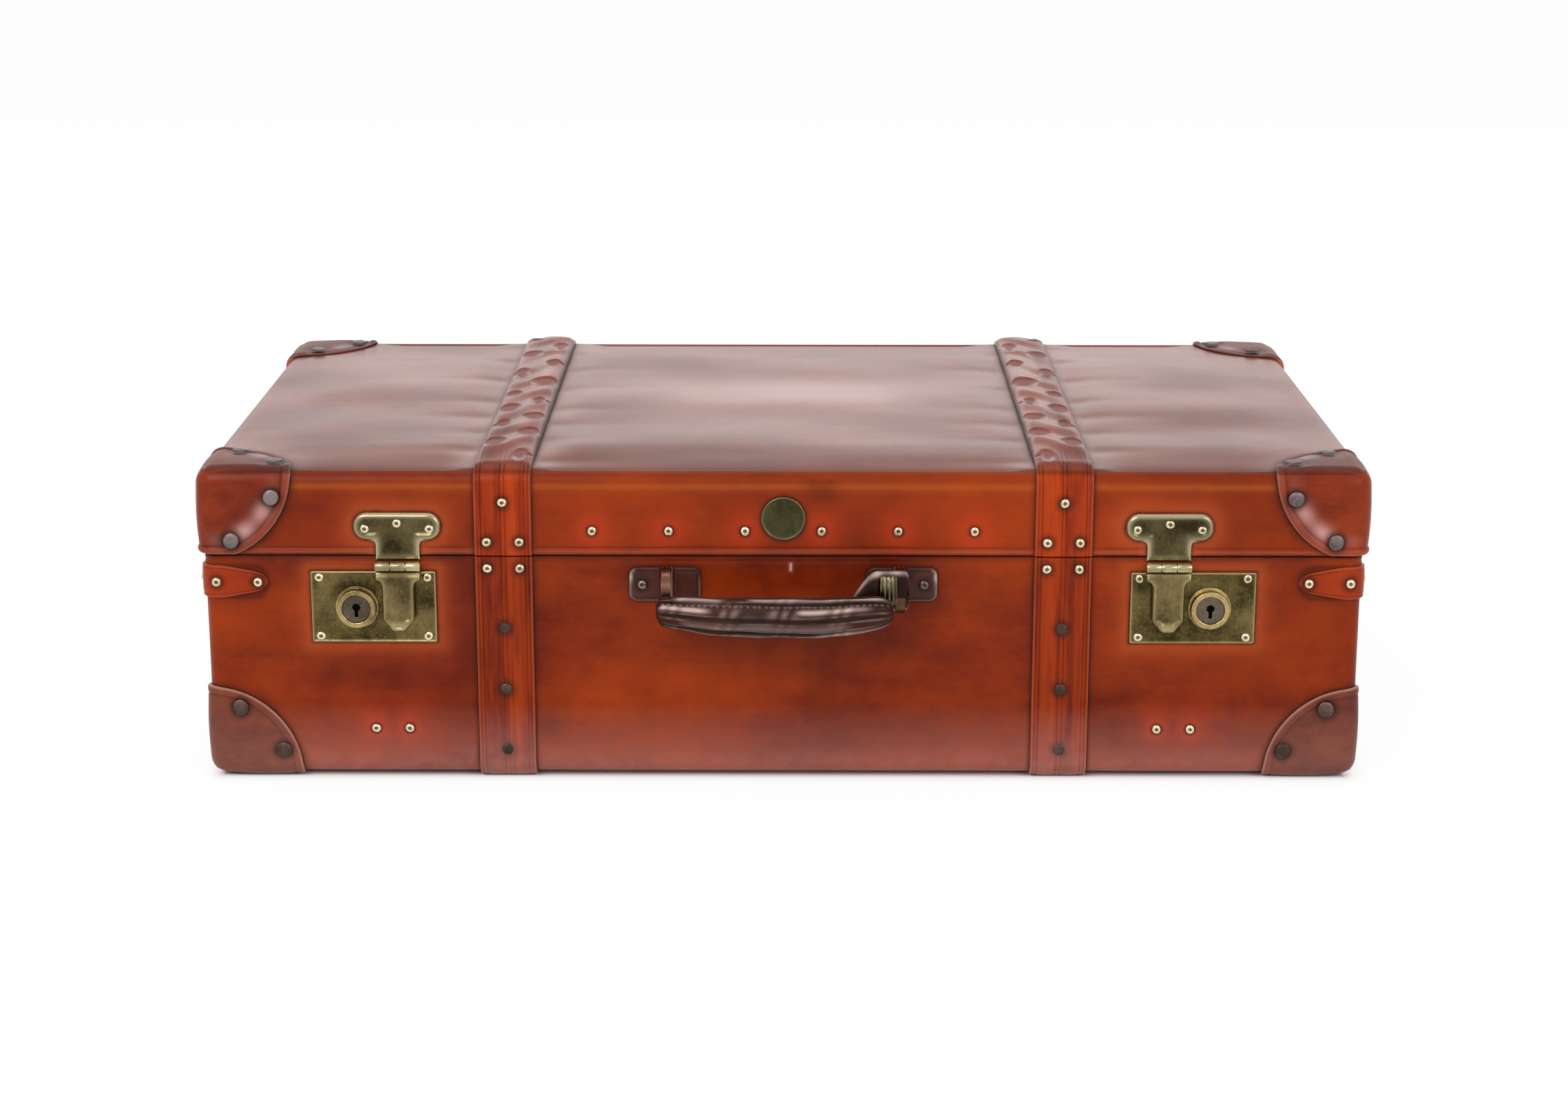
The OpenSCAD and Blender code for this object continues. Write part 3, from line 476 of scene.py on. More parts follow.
def tuft_relief(out, y):
    """The padded stretch from above: 1 on the puffs and 0 at each tuft, and the shaded foot of each
    tuft; out is the distance outwards from the band's middle. Each tuft is a wide round dish that
    deepens to a small pit, and a faint crease runs from it to the band's edge."""
    dip, foot = np.zeros_like(out), np.zeros_like(out)
    for row, dx in ((OUTER_TUFTS, 1), (INNER_TUFTS, -1)):
        for k, y0 in enumerate(row):
            size, shape = 1 + 0.2 * math.sin(3.7 * k + dx), 1 + 0.2 * math.sin(2.3 * k + 2 * dx)
            away_x = out - dx * TUFT_DX - 0.9 * MM * math.sin(5.1 * k)
            away_y = y - y0 + 0.25 * (out - dx * TUFT_DX)
            near = np.hypot(away_x / (7.2 * MM * size * shape), away_y / (12.5 * MM * size / shape))
            dish = np.clip(1 - near ** 2, 0, 1) ** 1.3
            pit = bell(np.hypot(away_x, 0.8 * away_y), 2.6 * MM)
            edge_crease = 0.4 * bell(away_y, 2.0 * MM) * smooth_step(dx * away_x, 1 * MM, 6 * MM)
            dip = np.maximum(dip, np.maximum(0.82 * dish + 0.18 * pit, edge_crease))
            foot = np.maximum(foot, bell(near - 0.72, 0.2) * smooth_step(-away_y, 2 * MM, 7 * MM))
    return 1 - dip, foot


def lid_band(side_name):
    """Strap over the lid: flat with tooled edges on the front and back, padded and tufted on the top."""
    side = SIDES[side_name]
    path, normals = hoop_path(lid_high[2], lid_low[2] + 0.2 * MM, lid_low[1], lid_high[1], 1.5 * MM)
    u, height, groove = strap_profile(band_half, band_t, BAND_LINES, columns=37)
    y = np.tile(path[:, :1], (1, len(u)))
    out = np.tile(side * u * band_half, (len(path), 1))
    on_top = smooth_step(normals[:, 1], 0.9, 0.9999)
    along = 0.3 * smooth_step(path[:, 0], pad_front - 4 * MM, pad_front + 4 * MM)
    along = along + 0.7 * smooth_step(path[:, 0], pad_front, pad_front + 38 * MM)
    along = along * (1 - smooth_step(path[:, 0], pad_rear - 5 * MM, pad_rear + 6 * MM))
    pad = (on_top * along)[:, None]
    crown = np.clip(1 - np.abs(u) ** 6, 0, 1)[None] ** 0.5
    lumps = 0.3 * MM * np.sin(out / (6.1 * MM) + y / (9.7 * MM)) * np.sin(y / (13.3 * MM) - out / (17 * MM))
    lumps = lumps + 0.5 * MM * np.sin(y / (7.4 * MM) + 2.2 * np.sin(out / (9 * MM)))
    relief, foot = tuft_relief(out, y)
    puffed = 0.5 * MM + (pad_t + 2.2 * MM + lumps) * crown * (0.40 + 0.60 * relief)
    rows = (1 - pad) * height[None] + pad * puffed
    layers = {
        "groove": groove[None] * (1 - pad),
        # dip paints the pale glare reflected in the tufts' dishes; the next two are painted shade at each
        # tuft's near foot and a painted shadow line along the pad's inner edge
        "dip": pad * smooth_step(1 - relief, 0.02, 0.45),
        "tuft_shade": pad * foot,
        "brink_shadow": pad * bell(out + band_half, 1.5 * MM),
        "edge": np.tile(bell((1 - np.abs(u)) * band_half, 0.9 * MM), (len(path), 1)),
    }
    piece = ribbon("lid_band_" + side_name + "_strap", *hoop_frame(path, normals, side * band_x),
                   np.full(len(path), band_half), rows, u, attributes=layers)
    return dress(piece, "lid", "band_leather", band_leather, "lid_band_" + side_name)


# Corner caps and tabs

def corner_cap(body, side_name, depth_name, low, high, up):
    """Moulded cap: a disc of three quarters of a turn folded over the corner. Its turn runs round the
    corner over front, side and top, its reach runs from the corner to the rim and back underneath,
    and each point is rounded over the box's edges as the skin is. It swells to a rolled rim beside a
    tooled line."""
    side, depth = SIDES[side_name], DEPTHS[depth_name]
    node = f"{body}_cap_{depth_name}_{side_name}"
    turns = np.linspace(0, 3, 3 * 36 + 1)[:-1]
    face = np.minimum(turns.astype(int), 2)
    angle = (turns - face) * math.pi / 2
    step = np.zeros((len(turns), 3))
    for k, (a, b) in enumerate([(0, 2), (2, 1), (1, 0)]):
        here = face == k
        step[here, a], step[here, b] = np.cos(angle[here]), np.sin(angle[here])
    sheen_turns = bell(np.mod(turns, 1) - 0.5, 0.26) * (0.7 + 0.3 * np.sin(23 * turns))
    flat = smooth_step(turns, 2.0, 2.2) * (1 - smooth_step(turns, 2.8, 3.0))
    roll_h = (1.0 if body == "lid" else 0.25) * MM * (1 - 0.75 * flat)[:, None]
    room = high[2] - low[2] - 0.3 * MM
    limit = np.minimum(cap_reach, room / np.maximum(step[:, 2], HAIR))
    near_rim = np.array([11, 9.6, 8.4, 7.3, 6.5, 5.9, 5.5, 5.2, 4.9, 4.5, 4.1, 3.6, 3.0, 2.3, 1.6, 1.1]) * MM
    edge = 0.9 * MM * np.array([0.8, 0.55, 0.35, 0.18, 0.06, 0.0])
    inset = np.concatenate([cap_reach - np.linspace(0, cap_reach - 13 * MM, 20), near_rim, edge])
    r = limit[:, None] * (1 - inset / cap_reach)[None]
    inset = np.tile(inset, (len(turns), 1))
    groove = bell(inset - 5.2 * MM, 0.6 * MM)
    roll = bell(inset - 2.5 * MM, 2.0 * MM)
    body_swell = 0.9 * MM * np.clip(1 - ((inset - 26 * MM) / (22 * MM)) ** 2, 0, 1)
    height = cap_t * (0.3 + 0.5 * rounded_rise(inset, 0.9 * MM)) * (1 - 0.35 * flat)[:, None]
    height = height + roll_h * roll - 0.35 * MM * groove + body_swell
    height = np.concatenate([height, np.full((len(turns), 2), under_gap)], axis=1)
    r = np.concatenate([r, limit[:, None], np.zeros((len(turns), 1))], axis=1)
    inward = np.array([-side, -depth, -up])
    corner = np.array([high[0] if side > 0 else low[0], high[1] if depth > 0 else low[1],
                       high[2] if up > 0 else low[2]])
    sharp = corner + step[:, None] * inward * r[..., None]
    centre = corner + inward * edge_r
    core = np.where(inward > 0, np.maximum(sharp, centre), np.minimum(sharp, centre))
    away = sharp - core
    normal = away / np.linalg.norm(away, axis=2, keepdims=True)
    grid = core + normal * (edge_r + height[..., None])
    sunk = 0.7 * MM * halo_of(grid, 5 * MM) * (height > 1 * MM)
    grid = grid - normal * sunk[..., None]
    pad = np.zeros((len(turns), 2))
    layers = {
        "groove": np.concatenate([groove, pad], axis=1),
        "rim": np.concatenate([smooth_step(5.2 * MM - inset, 0, 2 * MM) * roll_h / MM, pad], axis=1),
        # sheen is a painted highlight on the body inside the rim; edge marks the outer edge for a painted
        # highlight with some wear
        "sheen": np.concatenate([bell(inset - 10 * MM, 4.5 * MM) * sheen_turns[:, None], pad], axis=1),
        "edge": np.concatenate([bell(inset, 0.8 * MM), pad], axis=1),
        # Nearness to the rivet heads, for painted shade and grime round them
        "rivet_shade_and_grime": halo_of(grid),
    }
    piece = grid_piece(node + "_skin", grid, wrap_rows=True, attributes=layers, smooth_angle=50)
    return dress(piece, body, "cap_leather", CAP_FINISH[body], node)


def corner_tab(side_name, depth_name):
    """Strap end wrapped round a top corner of the base: a level path with an arc at the corner, and a
    width that closes to a rounded tip at both ends."""
    side, depth = SIDES[side_name], DEPTHS[depth_name]
    node = f"corner_tab_{depth_name}_{side_name}"
    low, high = box_of(node)
    z, half, thick = (low[2] + high[2]) / 2, (high[2] - low[2]) / 2, 2 * MM
    leg = high[0] - low[0] - thick - edge_r
    turn = np.linspace(0, math.pi / 2, 13)
    straight = leg * (1 - np.cos(np.linspace(0, math.pi / 2, 44))[:-1])
    # Path seen from above for a corner at the origin with the case towards +X and +Y
    first = np.stack([edge_r + leg - straight, np.zeros_like(straight)], 1)
    bend = np.stack([edge_r - edge_r * np.sin(turn), edge_r - edge_r * np.cos(turn)], 1)
    path = np.concatenate([first, bend, first[::-1, ::-1]])
    normals = np.concatenate([
        np.tile([0.0, -1.0], (len(first), 1)),
        np.stack([-np.sin(turn), -np.cos(turn)], 1),
        np.tile([-1.0, 0.0], (len(first), 1)),
    ])
    from_tip = np.concatenate([straight, np.full(len(turn), leg), straight[::-1]])
    blunt = np.clip(from_tip / (10 * MM), 0, 1)
    taper = 0.60 + 0.40 * smooth_step(from_tip, 2 * MM, 32 * MM)
    half_width = half * taper * (0.03 + 0.97 * np.sqrt(1 - (1 - blunt) ** 2))
    corner = np.array([high[0] - thick if side > 0 else low[0] + thick,
                       high[1] - thick if depth > 0 else low[1] + thick])
    signs = np.array([-side, -depth])
    centre = np.column_stack([corner + signs * path, np.full(len(path), z)])
    normal = np.column_stack([signs * normals, np.zeros(len(path))])
    up = np.tile([0.0, 0.0, 1.0], (len(path), 1))
    u, height, groove = strap_profile(half, thick, (2.0 * MM,), columns=21)
    end = rounded_rise(from_tip, 1.2 * MM)
    rows = under_gap + (height[None] - under_gap) * end[:, None]
    tip_line = bell(from_tip - 2.0 * MM, 0.4 * MM)[:, None]
    edge = np.maximum(bell((1 - np.abs(u)) * half, 0.8 * MM)[None], bell(from_tip, 0.8 * MM)[:, None])
    layers = {"groove": np.maximum(groove[None], tip_line), "edge": edge}
    piece = ribbon(node + "_strap", centre, up, normal, half_width, rows, u, attributes=layers)
    return dress(piece, "base", "band_leather", tab_leather, node)


# Rivet heads

BRASS_HEAD = np.array([
    [1.0, -0.08], [1.0, 0.12], [0.95, 0.36], [0.84, 0.66], [0.68, 0.92], [0.54, 1.02],
    [0.42, 0.98], [0.33, 0.74], [0.29, 0.45], [0.24, 0.36], [0.0, 0.33],
])
IRON_HEAD = np.array([
    [1.0, -0.08], [1.0, 0.10], [0.94, 0.34], [0.80, 0.60], [0.62, 0.80], [0.40, 0.94], [0.2, 0.99],
    [0.0, 1.0],
])


def rivet_heads(node, body, slot, material, profile, squash=1.0):
    """Heads turned about each rivet's axis: the profile gives the radius and the height as shares of the
    head's own. Each head is worn a little out of round."""
    spots, ways = RIVETS[node]
    head_d, turns = RIVET_D[node], 22
    random = np.random.default_rng(len(spots) + int(head_d * 1e5))  # each kind is worn in its own way
    around = full_turn(turns)
    side = np.cross(ways, np.where(np.abs(ways[:, 2:]) > 0.5, [[1.0, 0, 0]], [[0, 0, 1.0]]))
    other = np.cross(ways, side)
    wobble = 1 + 0.035 * np.cos(2 * around[None] + random.uniform(0, 6.3, (len(spots), 1)))
    lean = random.uniform(-0.10, 0.10, (len(spots), 2))
    ring = np.cos(around)[None, :, None] * side[:, None] + np.sin(around)[None, :, None] * other[:, None]
    r = profile[:, 0] * head_d / 2
    h = profile[:, 1] * HEAD_RISE * head_d * squash
    tilt = lean[:, :1] * np.cos(around)[None] + lean[:, 1:] * np.sin(around)[None]
    rise = h[None, None] * (1 + tilt[:, :, None] * (profile[:, 0] > 0.01))
    points = spots[:, None, None] + ring[:, :, None] * (r * wobble[..., None])[..., None]
    points = points + ways[:, None, None] * rise[..., None]
    per, count = turns * len(profile), len(spots)
    faces = np.concatenate([grid_faces(turns, len(profile), wrap_rows=True, start=k * per)
                            for k in range(count)])
    pit = np.tile(smooth_step(0.45 - profile[:, 0], 0, 0.14), (count, turns, 1)) * (profile is BRASS_HEAD)
    foot = np.tile(smooth_step(profile[:, 0], 0.86, 1.0), (count, turns, 1))
    thing = mesh_from(node + "_heads", points.reshape(-1, 3), faces, {"pit": pit, "foot": foot})
    return dress(finish_mesh(thing, smooth_angle=50), body, slot, material, node)


# Pressed metal: plates whose height follows the distance from their outline

def stadium(x, z, cx, cz, half_w, half_h, r):
    """Signed distance to a rounded rectangle, negative inside."""
    dx, dz = np.abs(x - cx) - (half_w - r), np.abs(z - cz) - (half_h - r)
    return np.hypot(np.maximum(dx, 0), np.maximum(dz, 0)) + np.minimum(np.maximum(dx, dz), 0) - r


def blended(a, b, width):
    """Union of two outlines with a hollow fillet between them."""
    h = np.clip(0.5 + 0.5 * (b - a) / width, 0, 1)
    return b + (a - b) * h - width * h * (1 - h)


def pressed_plate(name, outline, half_max, z_low, z_high, centre_x, face_y, height, rows, columns, rim_w,
                  back=0.0, toe=0.0):
    """Plate seen from the front: at each level its half width is where the outline's distance is nought,
    found by halving; points are spread across it, and each stands out from face_y by the height for its
    distance inside the outline. It closes behind at face_y plus back. The rim layer also takes the
    lowest stretch, where a toe is given."""
    z = z_low + (z_high - z_low) * (0.5 - 0.5 * np.cos(np.linspace(0, math.pi, rows)))
    inner, outer = np.zeros_like(z), np.full_like(z, half_max)
    for _ in range(30):
        middle = (inner + outer) / 2
        inside = outline(middle, z) < 0
        inner, outer = np.where(inside, middle, inner), np.where(inside, outer, middle)
    u = crowded(columns)
    x = u[None] * inner[:, None]
    zz = np.tile(z[:, None], (1, columns))
    inset = np.maximum(-outline(np.abs(x), zz), 0)
    out = height(x, zz, inset)
    front = np.stack([centre_x + x, face_y - out, zz], -1)
    rear = np.stack([centre_x + x, np.full_like(x, face_y + back), zz], -1)[:, ::-1]
    end = np.concatenate([rear[:, ::-1], rear], axis=1)
    grid = with_ends(end, np.concatenate([front, rear], axis=1), end)
    rim = bell(inset, rim_w)
    if toe:
        # The toe is a painted highlight on the lowest stretch, the flap's nose
        rim = np.maximum(rim, smooth_step(z_low + toe - zz, 0, 4 * MM))
    rim = np.concatenate([rim, rim[:, ::-1]], axis=1)
    return grid_piece(name, grid, wrap_columns=True, attributes={"rim": with_ends(rim, rim, rim)},
                      smooth_angle=55)


def softened(node, body, slot, material, width=0.35 * MM, segments=2):
    """The CAD solid's own form, welded, its flat triangles joined, and its edges rounded off; a layer
    marks what lies behind its front, which a finish can paint near black as shade."""
    corner_deg = 35
    mesh = frame["nodes"][node].data.copy()
    mesh.materials.clear()
    thing = add_object(node + "_body", mesh)
    work = bmesh.new()
    work.from_mesh(mesh)
    bmesh.ops.remove_doubles(work, verts=work.verts, dist=HAIR)
    bmesh.ops.dissolve_limit(work, angle_limit=math.radians(1), verts=work.verts, edges=work.edges)
    work.to_mesh(mesh)
    work.free()
    y = points_of(mesh)[:, 1]
    add_layer(mesh, "deep", smooth_step(y - y.min(), 0.5 * MM, 1.5 * MM))
    bevel = thing.modifiers.new("edge", "BEVEL")
    bevel.width = width
    bevel.segments = segments
    bevel.limit_method = "ANGLE"
    bevel.angle_limit = math.radians(corner_deg)
    mesh.shade_smooth()
    mesh.set_sharp_from_angle(angle=math.radians(corner_deg + 10))
    return dress(thing, body, slot, material, node)


# Hasps: the pin's height, the knuckles' radius, the round of the wing's ends, half the neck's width,
# the neck's foot and the flap's top
PIN_Z = 135.5 * MM
KNUCKLE_R = 3.2 * MM
WING_R = 8.75 * MM
NECK_HALF = 13.5 * MM
NECK_FOOT = 139.0 * MM
FLAP_TOP = 132.0 * MM


def lock_plate(side_name):
    """Back plate of a lock: flat, with a fine raised border."""
    node = "lock_plate_" + side_name
    low, high = box_of(node)
    centre = (low + high) / 2
    half = (high - low) / 2
    plate_t = 1.2 * MM

    def outline(x, z):
        return stadium(x, z, 0, centre[2], half[0], half[2], 1.2 * MM)

    def height(x, z, inset):
        border = bell(inset - 0.9 * MM, 0.7 * MM)
        dent = 0.16 * MM * gentle_waves(2.5 * x, 2.5 * z)
        return (plate_t + dent) * rounded_rise(inset, 0.5 * MM) + 0.5 * MM * border

    piece = pressed_plate(node + "_sheet", outline, half[0] + 1 * MM, low[2], high[2], centre[0], high[1],
                          height, rows=130, columns=97, rim_w=1.1 * MM)
    return dress(piece, "base", "aged_brass", lock_brass, node)


def hasp_plate(side_name):
    """Upper plate of a hasp: a wing with round ends over a narrower neck, its border rolled up."""
    node, side = "hasp_plate_" + side_name, SIDES[side_name]
    low, high = box_of(node)
    x_mid, y_back = (low[0] + high[0]) / 2, high[1]
    wing_half, wing_z = (high[0] - low[0]) / 2, high[2] - WING_R

    def outline(x, z):
        wing = stadium(x, z, 0, wing_z, wing_half, WING_R, 8.2 * MM)
        neck = stadium(x, z, 0, wing_z - 8 * MM, NECK_HALF, wing_z - 8 * MM - NECK_FOOT, 0.4 * MM)
        return blended(wing, neck, 4 * MM)

    def height(x, z, inset):
        on_wing = smooth_step(z, wing_z - 13 * MM, wing_z - 4 * MM)
        roll = bell(inset - 2.6 * MM, 2.0 * MM)
        clear = 1.1 + 0.6 * smooth_step(z, NECK_FOOT + 1 * MM, NECK_FOOT + 4 * MM)
        return clear * MM * rounded_rise(inset, 1.6 * MM) + (0.2 + 1.3 * on_wing) * MM * roll

    piece = pressed_plate(node + "_sheet", outline, wing_half + 1 * MM, NECK_FOOT, high[2], x_mid,
                          y_back, height, rows=110, columns=49, rim_w=2.6 * MM)
    dress(piece, "lid", "aged_brass", hasp_brass, node)
    for end in (-1, 1):
        knuckle(f"{node}_knuckle_{'out' if end == side else 'in'}", "lid", x_mid + end * 9.2 * MM, 4.3 * MM,
                y_back - KNUCKLE_R)
    return piece


def knuckle(name, body, x_mid, half, y_mid):
    """Hinge knuckle: a bar turned about X, its ends eased, with a flute along its front. Its parameters
    are the place along it and the turn round it."""
    t = np.array([-half, -half + 0.3 * MM, half - 0.3 * MM, half])
    r = KNUCKLE_R - 0.15 * MM * np.array([1, 0, 0, 1])
    turn = full_turn(32)
    ring = np.stack([np.zeros_like(turn), np.cos(turn), np.sin(turn)], -1)
    r = r[:, None] - 0.55 * MM * bell(turn - math.pi - 0.25, 0.16)[None]
    points = np.array([x_mid, y_mid, PIN_Z]) + ring[None] * r[..., None]
    points[..., 0] += t[:, None]
    caps = np.tile(points.mean(axis=1, keepdims=True), (1, len(turn), 1))
    piece = grid_piece(name, with_ends(caps, points, caps), wrap_columns=True, smooth_angle=45)
    return dress(piece, body, "aged_brass", knuckle_brass)


def hasp_flap(side_name):
    """Swinging flap of a hasp: shoulders as wide as the knuckle that draw in to a straight tongue with a
    narrow nose; its border is turned over, and it stands out more towards the nose."""
    node = "hasp_flap_" + side_name
    low, high = box_of(node)
    x_mid = (low[0] + high[0]) / 2
    shoulder_half, tongue_half, nose_half = (high[0] - low[0]) / 2, 9.8 * MM, 5.4 * MM
    top, bottom = FLAP_TOP, low[2]
    face = low[1] + 2.2 * MM

    def outline(x, z):
        shoulder = stadium(x, z, 0, top - 2.2 * MM, shoulder_half, 2.4 * MM, 0.8 * MM)
        mid, reach = (top + bottom + 2 * MM) / 2, (top - bottom - 4 * MM) / 2
        tongue = stadium(x, z, 0, mid + 2 * MM, tongue_half, reach, 4.2 * MM)
        nose = stadium(x, z, 0, bottom + 6 * MM, nose_half, 6 * MM, 3.4 * MM)
        return blended(blended(shoulder, tongue, 5 * MM), nose, 4.5 * MM)

    def height(x, z, inset):
        down = smooth_step(top - z, 2 * MM, 10 * MM)
        roll = bell(inset - 1.9 * MM, 1.2 * MM)
        pillow = -0.3 * MM * smooth_step(inset, 3 * MM, 8 * MM)
        clear = 0.5 + 0.5 * smooth_step(top - z, 0, 3.5 * MM)
        nose_lift = 0.6 * MM * bell(z - bottom - 3.5 * MM, 3 * MM)
        return 2.0 * MM * rounded_rise(inset, 1.3 * MM) * clear + 0.75 * MM * roll * down + pillow + nose_lift

    piece = pressed_plate(node + "_sheet", outline, shoulder_half + 1 * MM, bottom, top, x_mid, face,
                          height, back=0.5 * MM, rows=150, columns=45, rim_w=2.0 * MM, toe=8 * MM)
    knuckle(node + "_knuckle", "hasp_" + side_name, x_mid, 4.4 * MM, high[1] - KNUCKLE_R)
    return dress(piece, "hasp_" + side_name, "aged_brass", flap_brass, node)


def badge_disc():
    """Plain round disc with a fine raised border and a slightly dished face: a profile turned about Y."""
    low, high = box_of("badge")
    centre, radius = (low + high) / 2, (high[0] - low[0]) / 2
    r = np.array([0, 0.3, 0.6, 0.8, 0.88, 0.91, 0.94, 0.97, 0.99, 1.0, 1.0, 0.0]) * radius
    h = np.array([0.62, 0.62, 0.66, 0.74, 0.8, 0.98, 1.1, 1.05, 0.85, 0.5, -0.05, -0.05]) * 1.2 * MM
    turn = full_turn(72)
    grid = np.stack([
        centre[0] + np.outer(np.cos(turn), r),
        np.tile(high[1] - h, (len(turn), 1)),
        centre[2] + np.outer(np.sin(turn), r),
    ], -1)
    rim = np.tile(smooth_step(r / radius, 0.86, 0.95), (len(turn), 1))
    piece = grid_piece("badge_disc", grid, wrap_rows=True, attributes={"rim": rim}, smooth_angle=50)
    return dress(piece, "lid", "aged_brass", badge_brass, "badge")


# Handle

grip_low, _ = box_of("handle_grip")
ring_low, ring_high = box_of("handle_ring_right")
pivot = np.array([0, (ring_low[1] + ring_high[1]) / 2, (ring_low[2] + ring_high[2]) / 2])
ring_x = (ring_low[0] + ring_high[0]) / 2
DROOP = math.radians(18)
handle_out = np.array([0, -math.cos(DROOP), -math.sin(DROOP)])
handle_up = np.array([0, -math.sin(DROOP), math.cos(DROOP)])
RIGHT = np.array([1.0, 0, 0])


def on_handle(along, out, up):
    """Points from the rings' centre line: along it, out from the case and up, in the drooping frame."""
    return pivot + RIGHT * along[..., None] + handle_out * out[..., None] + handle_up * up[..., None]


def handle_grip():
    """Grip along X: rolls of leather between sunk seams round an oval that is low at its ends and deep
    in the middle, straight above and bowed below; the left end is squared, the right one draws in. One
    seam carries raised stitches. Its parameters are the place along it and the turn round it."""
    start = 16.3 * MM
    left_end, right_end = grip_low[0] - 0.5 * MM, 66 * MM
    t = crowded(161)
    turn = full_turn(144)
    t, turn = np.meshgrid(t, turn, indexing="ij")
    along = (left_end + right_end) / 2 + t * (right_end - left_end) / 2
    swell = np.clip(1 - (along / (78 * MM)) ** 2, 0, 1)
    end = np.clip(1 - np.abs(t) ** np.where(t < 0, 60, 16), 0, 1) ** 0.5
    half_t = 7.4 * MM + 2.2 * MM * swell
    half_h = 8.2 * MM + 3.9 * MM * swell ** 0.8
    centre_up = 1.0 * MM - 2.0 * MM * swell + 1.2 * MM * smooth_step(along, 30 * MM, 66 * MM)
    seam = np.zeros_like(t)
    for place_deg, depth in ((66, 1), (107, 1), (166, 0.6), (212, 1), (250, 1), (292, 1)):
        off = turn - math.radians(place_deg) - 0.05 * np.sin(along / (21 * MM))
        off = (off + math.pi) % (2 * math.pi) - math.pi
        seam = np.maximum(seam, depth * bell(off, 0.115))
    off = turn - math.radians(121)
    stitch_row = bell(off, 0.06)
    stitches = stitch_row * smooth_step(np.sin(2 * math.pi * along / (3.6 * MM)), -0.2, 0.5)
    broken = 0.5 + 0.5 * np.sin(along / (2.1 * MM) + 3 * np.sin(along / (5.3 * MM)) + 4 * turn)
    # shine: painted highlights along the rolls, each a band round the turn over a stretch of the grip, broken
    # in places
    shine = np.zeros_like(t)
    for place_deg, width, from_x, to_x, strength, tear in (
            (98, 0.04, -74, 64, 0.25, 0.6), (114, 0.035, -70, 60, 0.35, 0.9), (152, 0.05, -74, 66, 0.3, 0.8),
            (176, 0.05, -74, 66, 0.25, 0.6), (203, 0.05, -70, 62, 0.35, 0.5), (222, 0.05, -70, 64, 0.3, 0.5),
            (88, 0.16, -64, -36, 1.0, 0.3), (88, 0.14, -20, 62, 0.8, 0.35), (136, 0.13, -74, -44, 1.3, 0.5),
            (136, 0.12, 8, 52, 1.1, 0.55), (142, 0.2, -40, 10, 0.35, 0.9), (190, 0.22, -60, 40, 0.26, 0.2),
            (190, 0.12, -60, -20, 0.4, 0.7), (228, 0.10, -52, -8, 0.7, 0.4), (228, 0.12, 18, 64, 0.8, 0.4)):
        window = smooth_step(along, from_x * MM - 3 * MM, from_x * MM + 5 * MM)
        window = window * (1 - smooth_step(along, to_x * MM - 8 * MM, to_x * MM + 4 * MM))
        band = bell(turn - math.radians(place_deg) - 0.04 * np.sin(along / (9 * MM)), width)
        shine = np.maximum(shine, strength * window * band * (1 - tear * broken))
    uneven = 0.35 * MM * np.sin(along / (6.3 * MM) + 2.1 * np.sin(2 * turn))
    uneven = uneven * np.sin(along / (17 * MM) + turn)
    squared = (np.abs(np.cos(turn)) ** 2.5 + np.abs(np.sin(turn)) ** 2.5) ** (-1 / 2.5)
    relief = (-1.7 * MM * seam - 0.35 * MM * stitch_row + 0.8 * MM * stitches + uneven) * end
    out = (half_t * squared * end + relief) * np.cos(turn)
    up = (half_h * squared * end + relief) * np.sin(turn)
    points = on_handle(along, start + half_t + 2.5 * MM * swell - out, centre_up * end + up)
    piece = grid_piece("handle_grip_leather", points, wrap_columns=True,
                       attributes={"groove": seam * end, "stitch": stitches, "shine": np.clip(shine, 0, 1)},
                       smooth_angle=70)
    return dress(piece, "handle", "handle_leather", handle_leather, "handle_grip")


def handle_end(side_name):
    """Leather of the grip's end, folded round its ring: ovals along X. On the left it stays low behind
    the squared grip; on the right it spreads to above and below the ring and its middle draws in."""
    side = SIDES[side_name]
    right = 1 if side > 0 else 0
    inner = 38 * MM if right else 60 * MM
    outer = ring_x + (5.0 if right else 5.6) * MM
    t = np.linspace(0, 1, 61)
    turn = full_turn(80)
    t, turn = np.meshgrid(t, turn, indexing="ij")
    along = inner + (outer - inner) * t
    spread = smooth_step(along, inner, ring_x - 14 * MM) ** 0.7
    end = np.clip(1 - np.abs(2 * t - 1) ** 30, 0, 1) ** 0.5
    half_h = (6.3 + (8.2 if right else 1.0) * spread) * MM * end
    half_t = (3.2 - 0.7 * spread) * MM * end
    middle = (22 - (8.0 if right else 10.8) * spread) * MM
    rise = (5.6 if right else -3.2) * MM * spread
    mouth = right * smooth_step(along, ring_x - 15 * MM, ring_x - 10 * MM)
    mouth = mouth * np.clip(np.cos(turn + math.pi), 0, 1) ** 0.6
    relief = 0.3 * MM * np.cos(along / (1.1 * MM)) * (1 - right) * end
    out = middle - (half_t + relief) * np.cos(turn) - 4.2 * MM * spread * np.sin(turn) ** 2 - 3.2 * MM * mouth
    up = half_h * np.sin(turn) + rise
    points = on_handle(side * along, out, up)
    # Painted highlight on the upper and lower lips of the right end
    lip_highlight = bell(np.abs(np.sin(turn)) - 0.93, 0.10) * spread * right
    shine = lip_highlight * (0.75 + 0.25 * np.sin(along / (1.7 * MM)))
    piece = grid_piece(f"handle_end_{side_name}", points, wrap_columns=True,
                       attributes={"groove": 0.8 * mouth, "stitch": 0 * t, "shine": shine}, smooth_angle=70)
    return dress(piece, "handle", "handle_leather", handle_leather, "handle_loop_" + side_name)


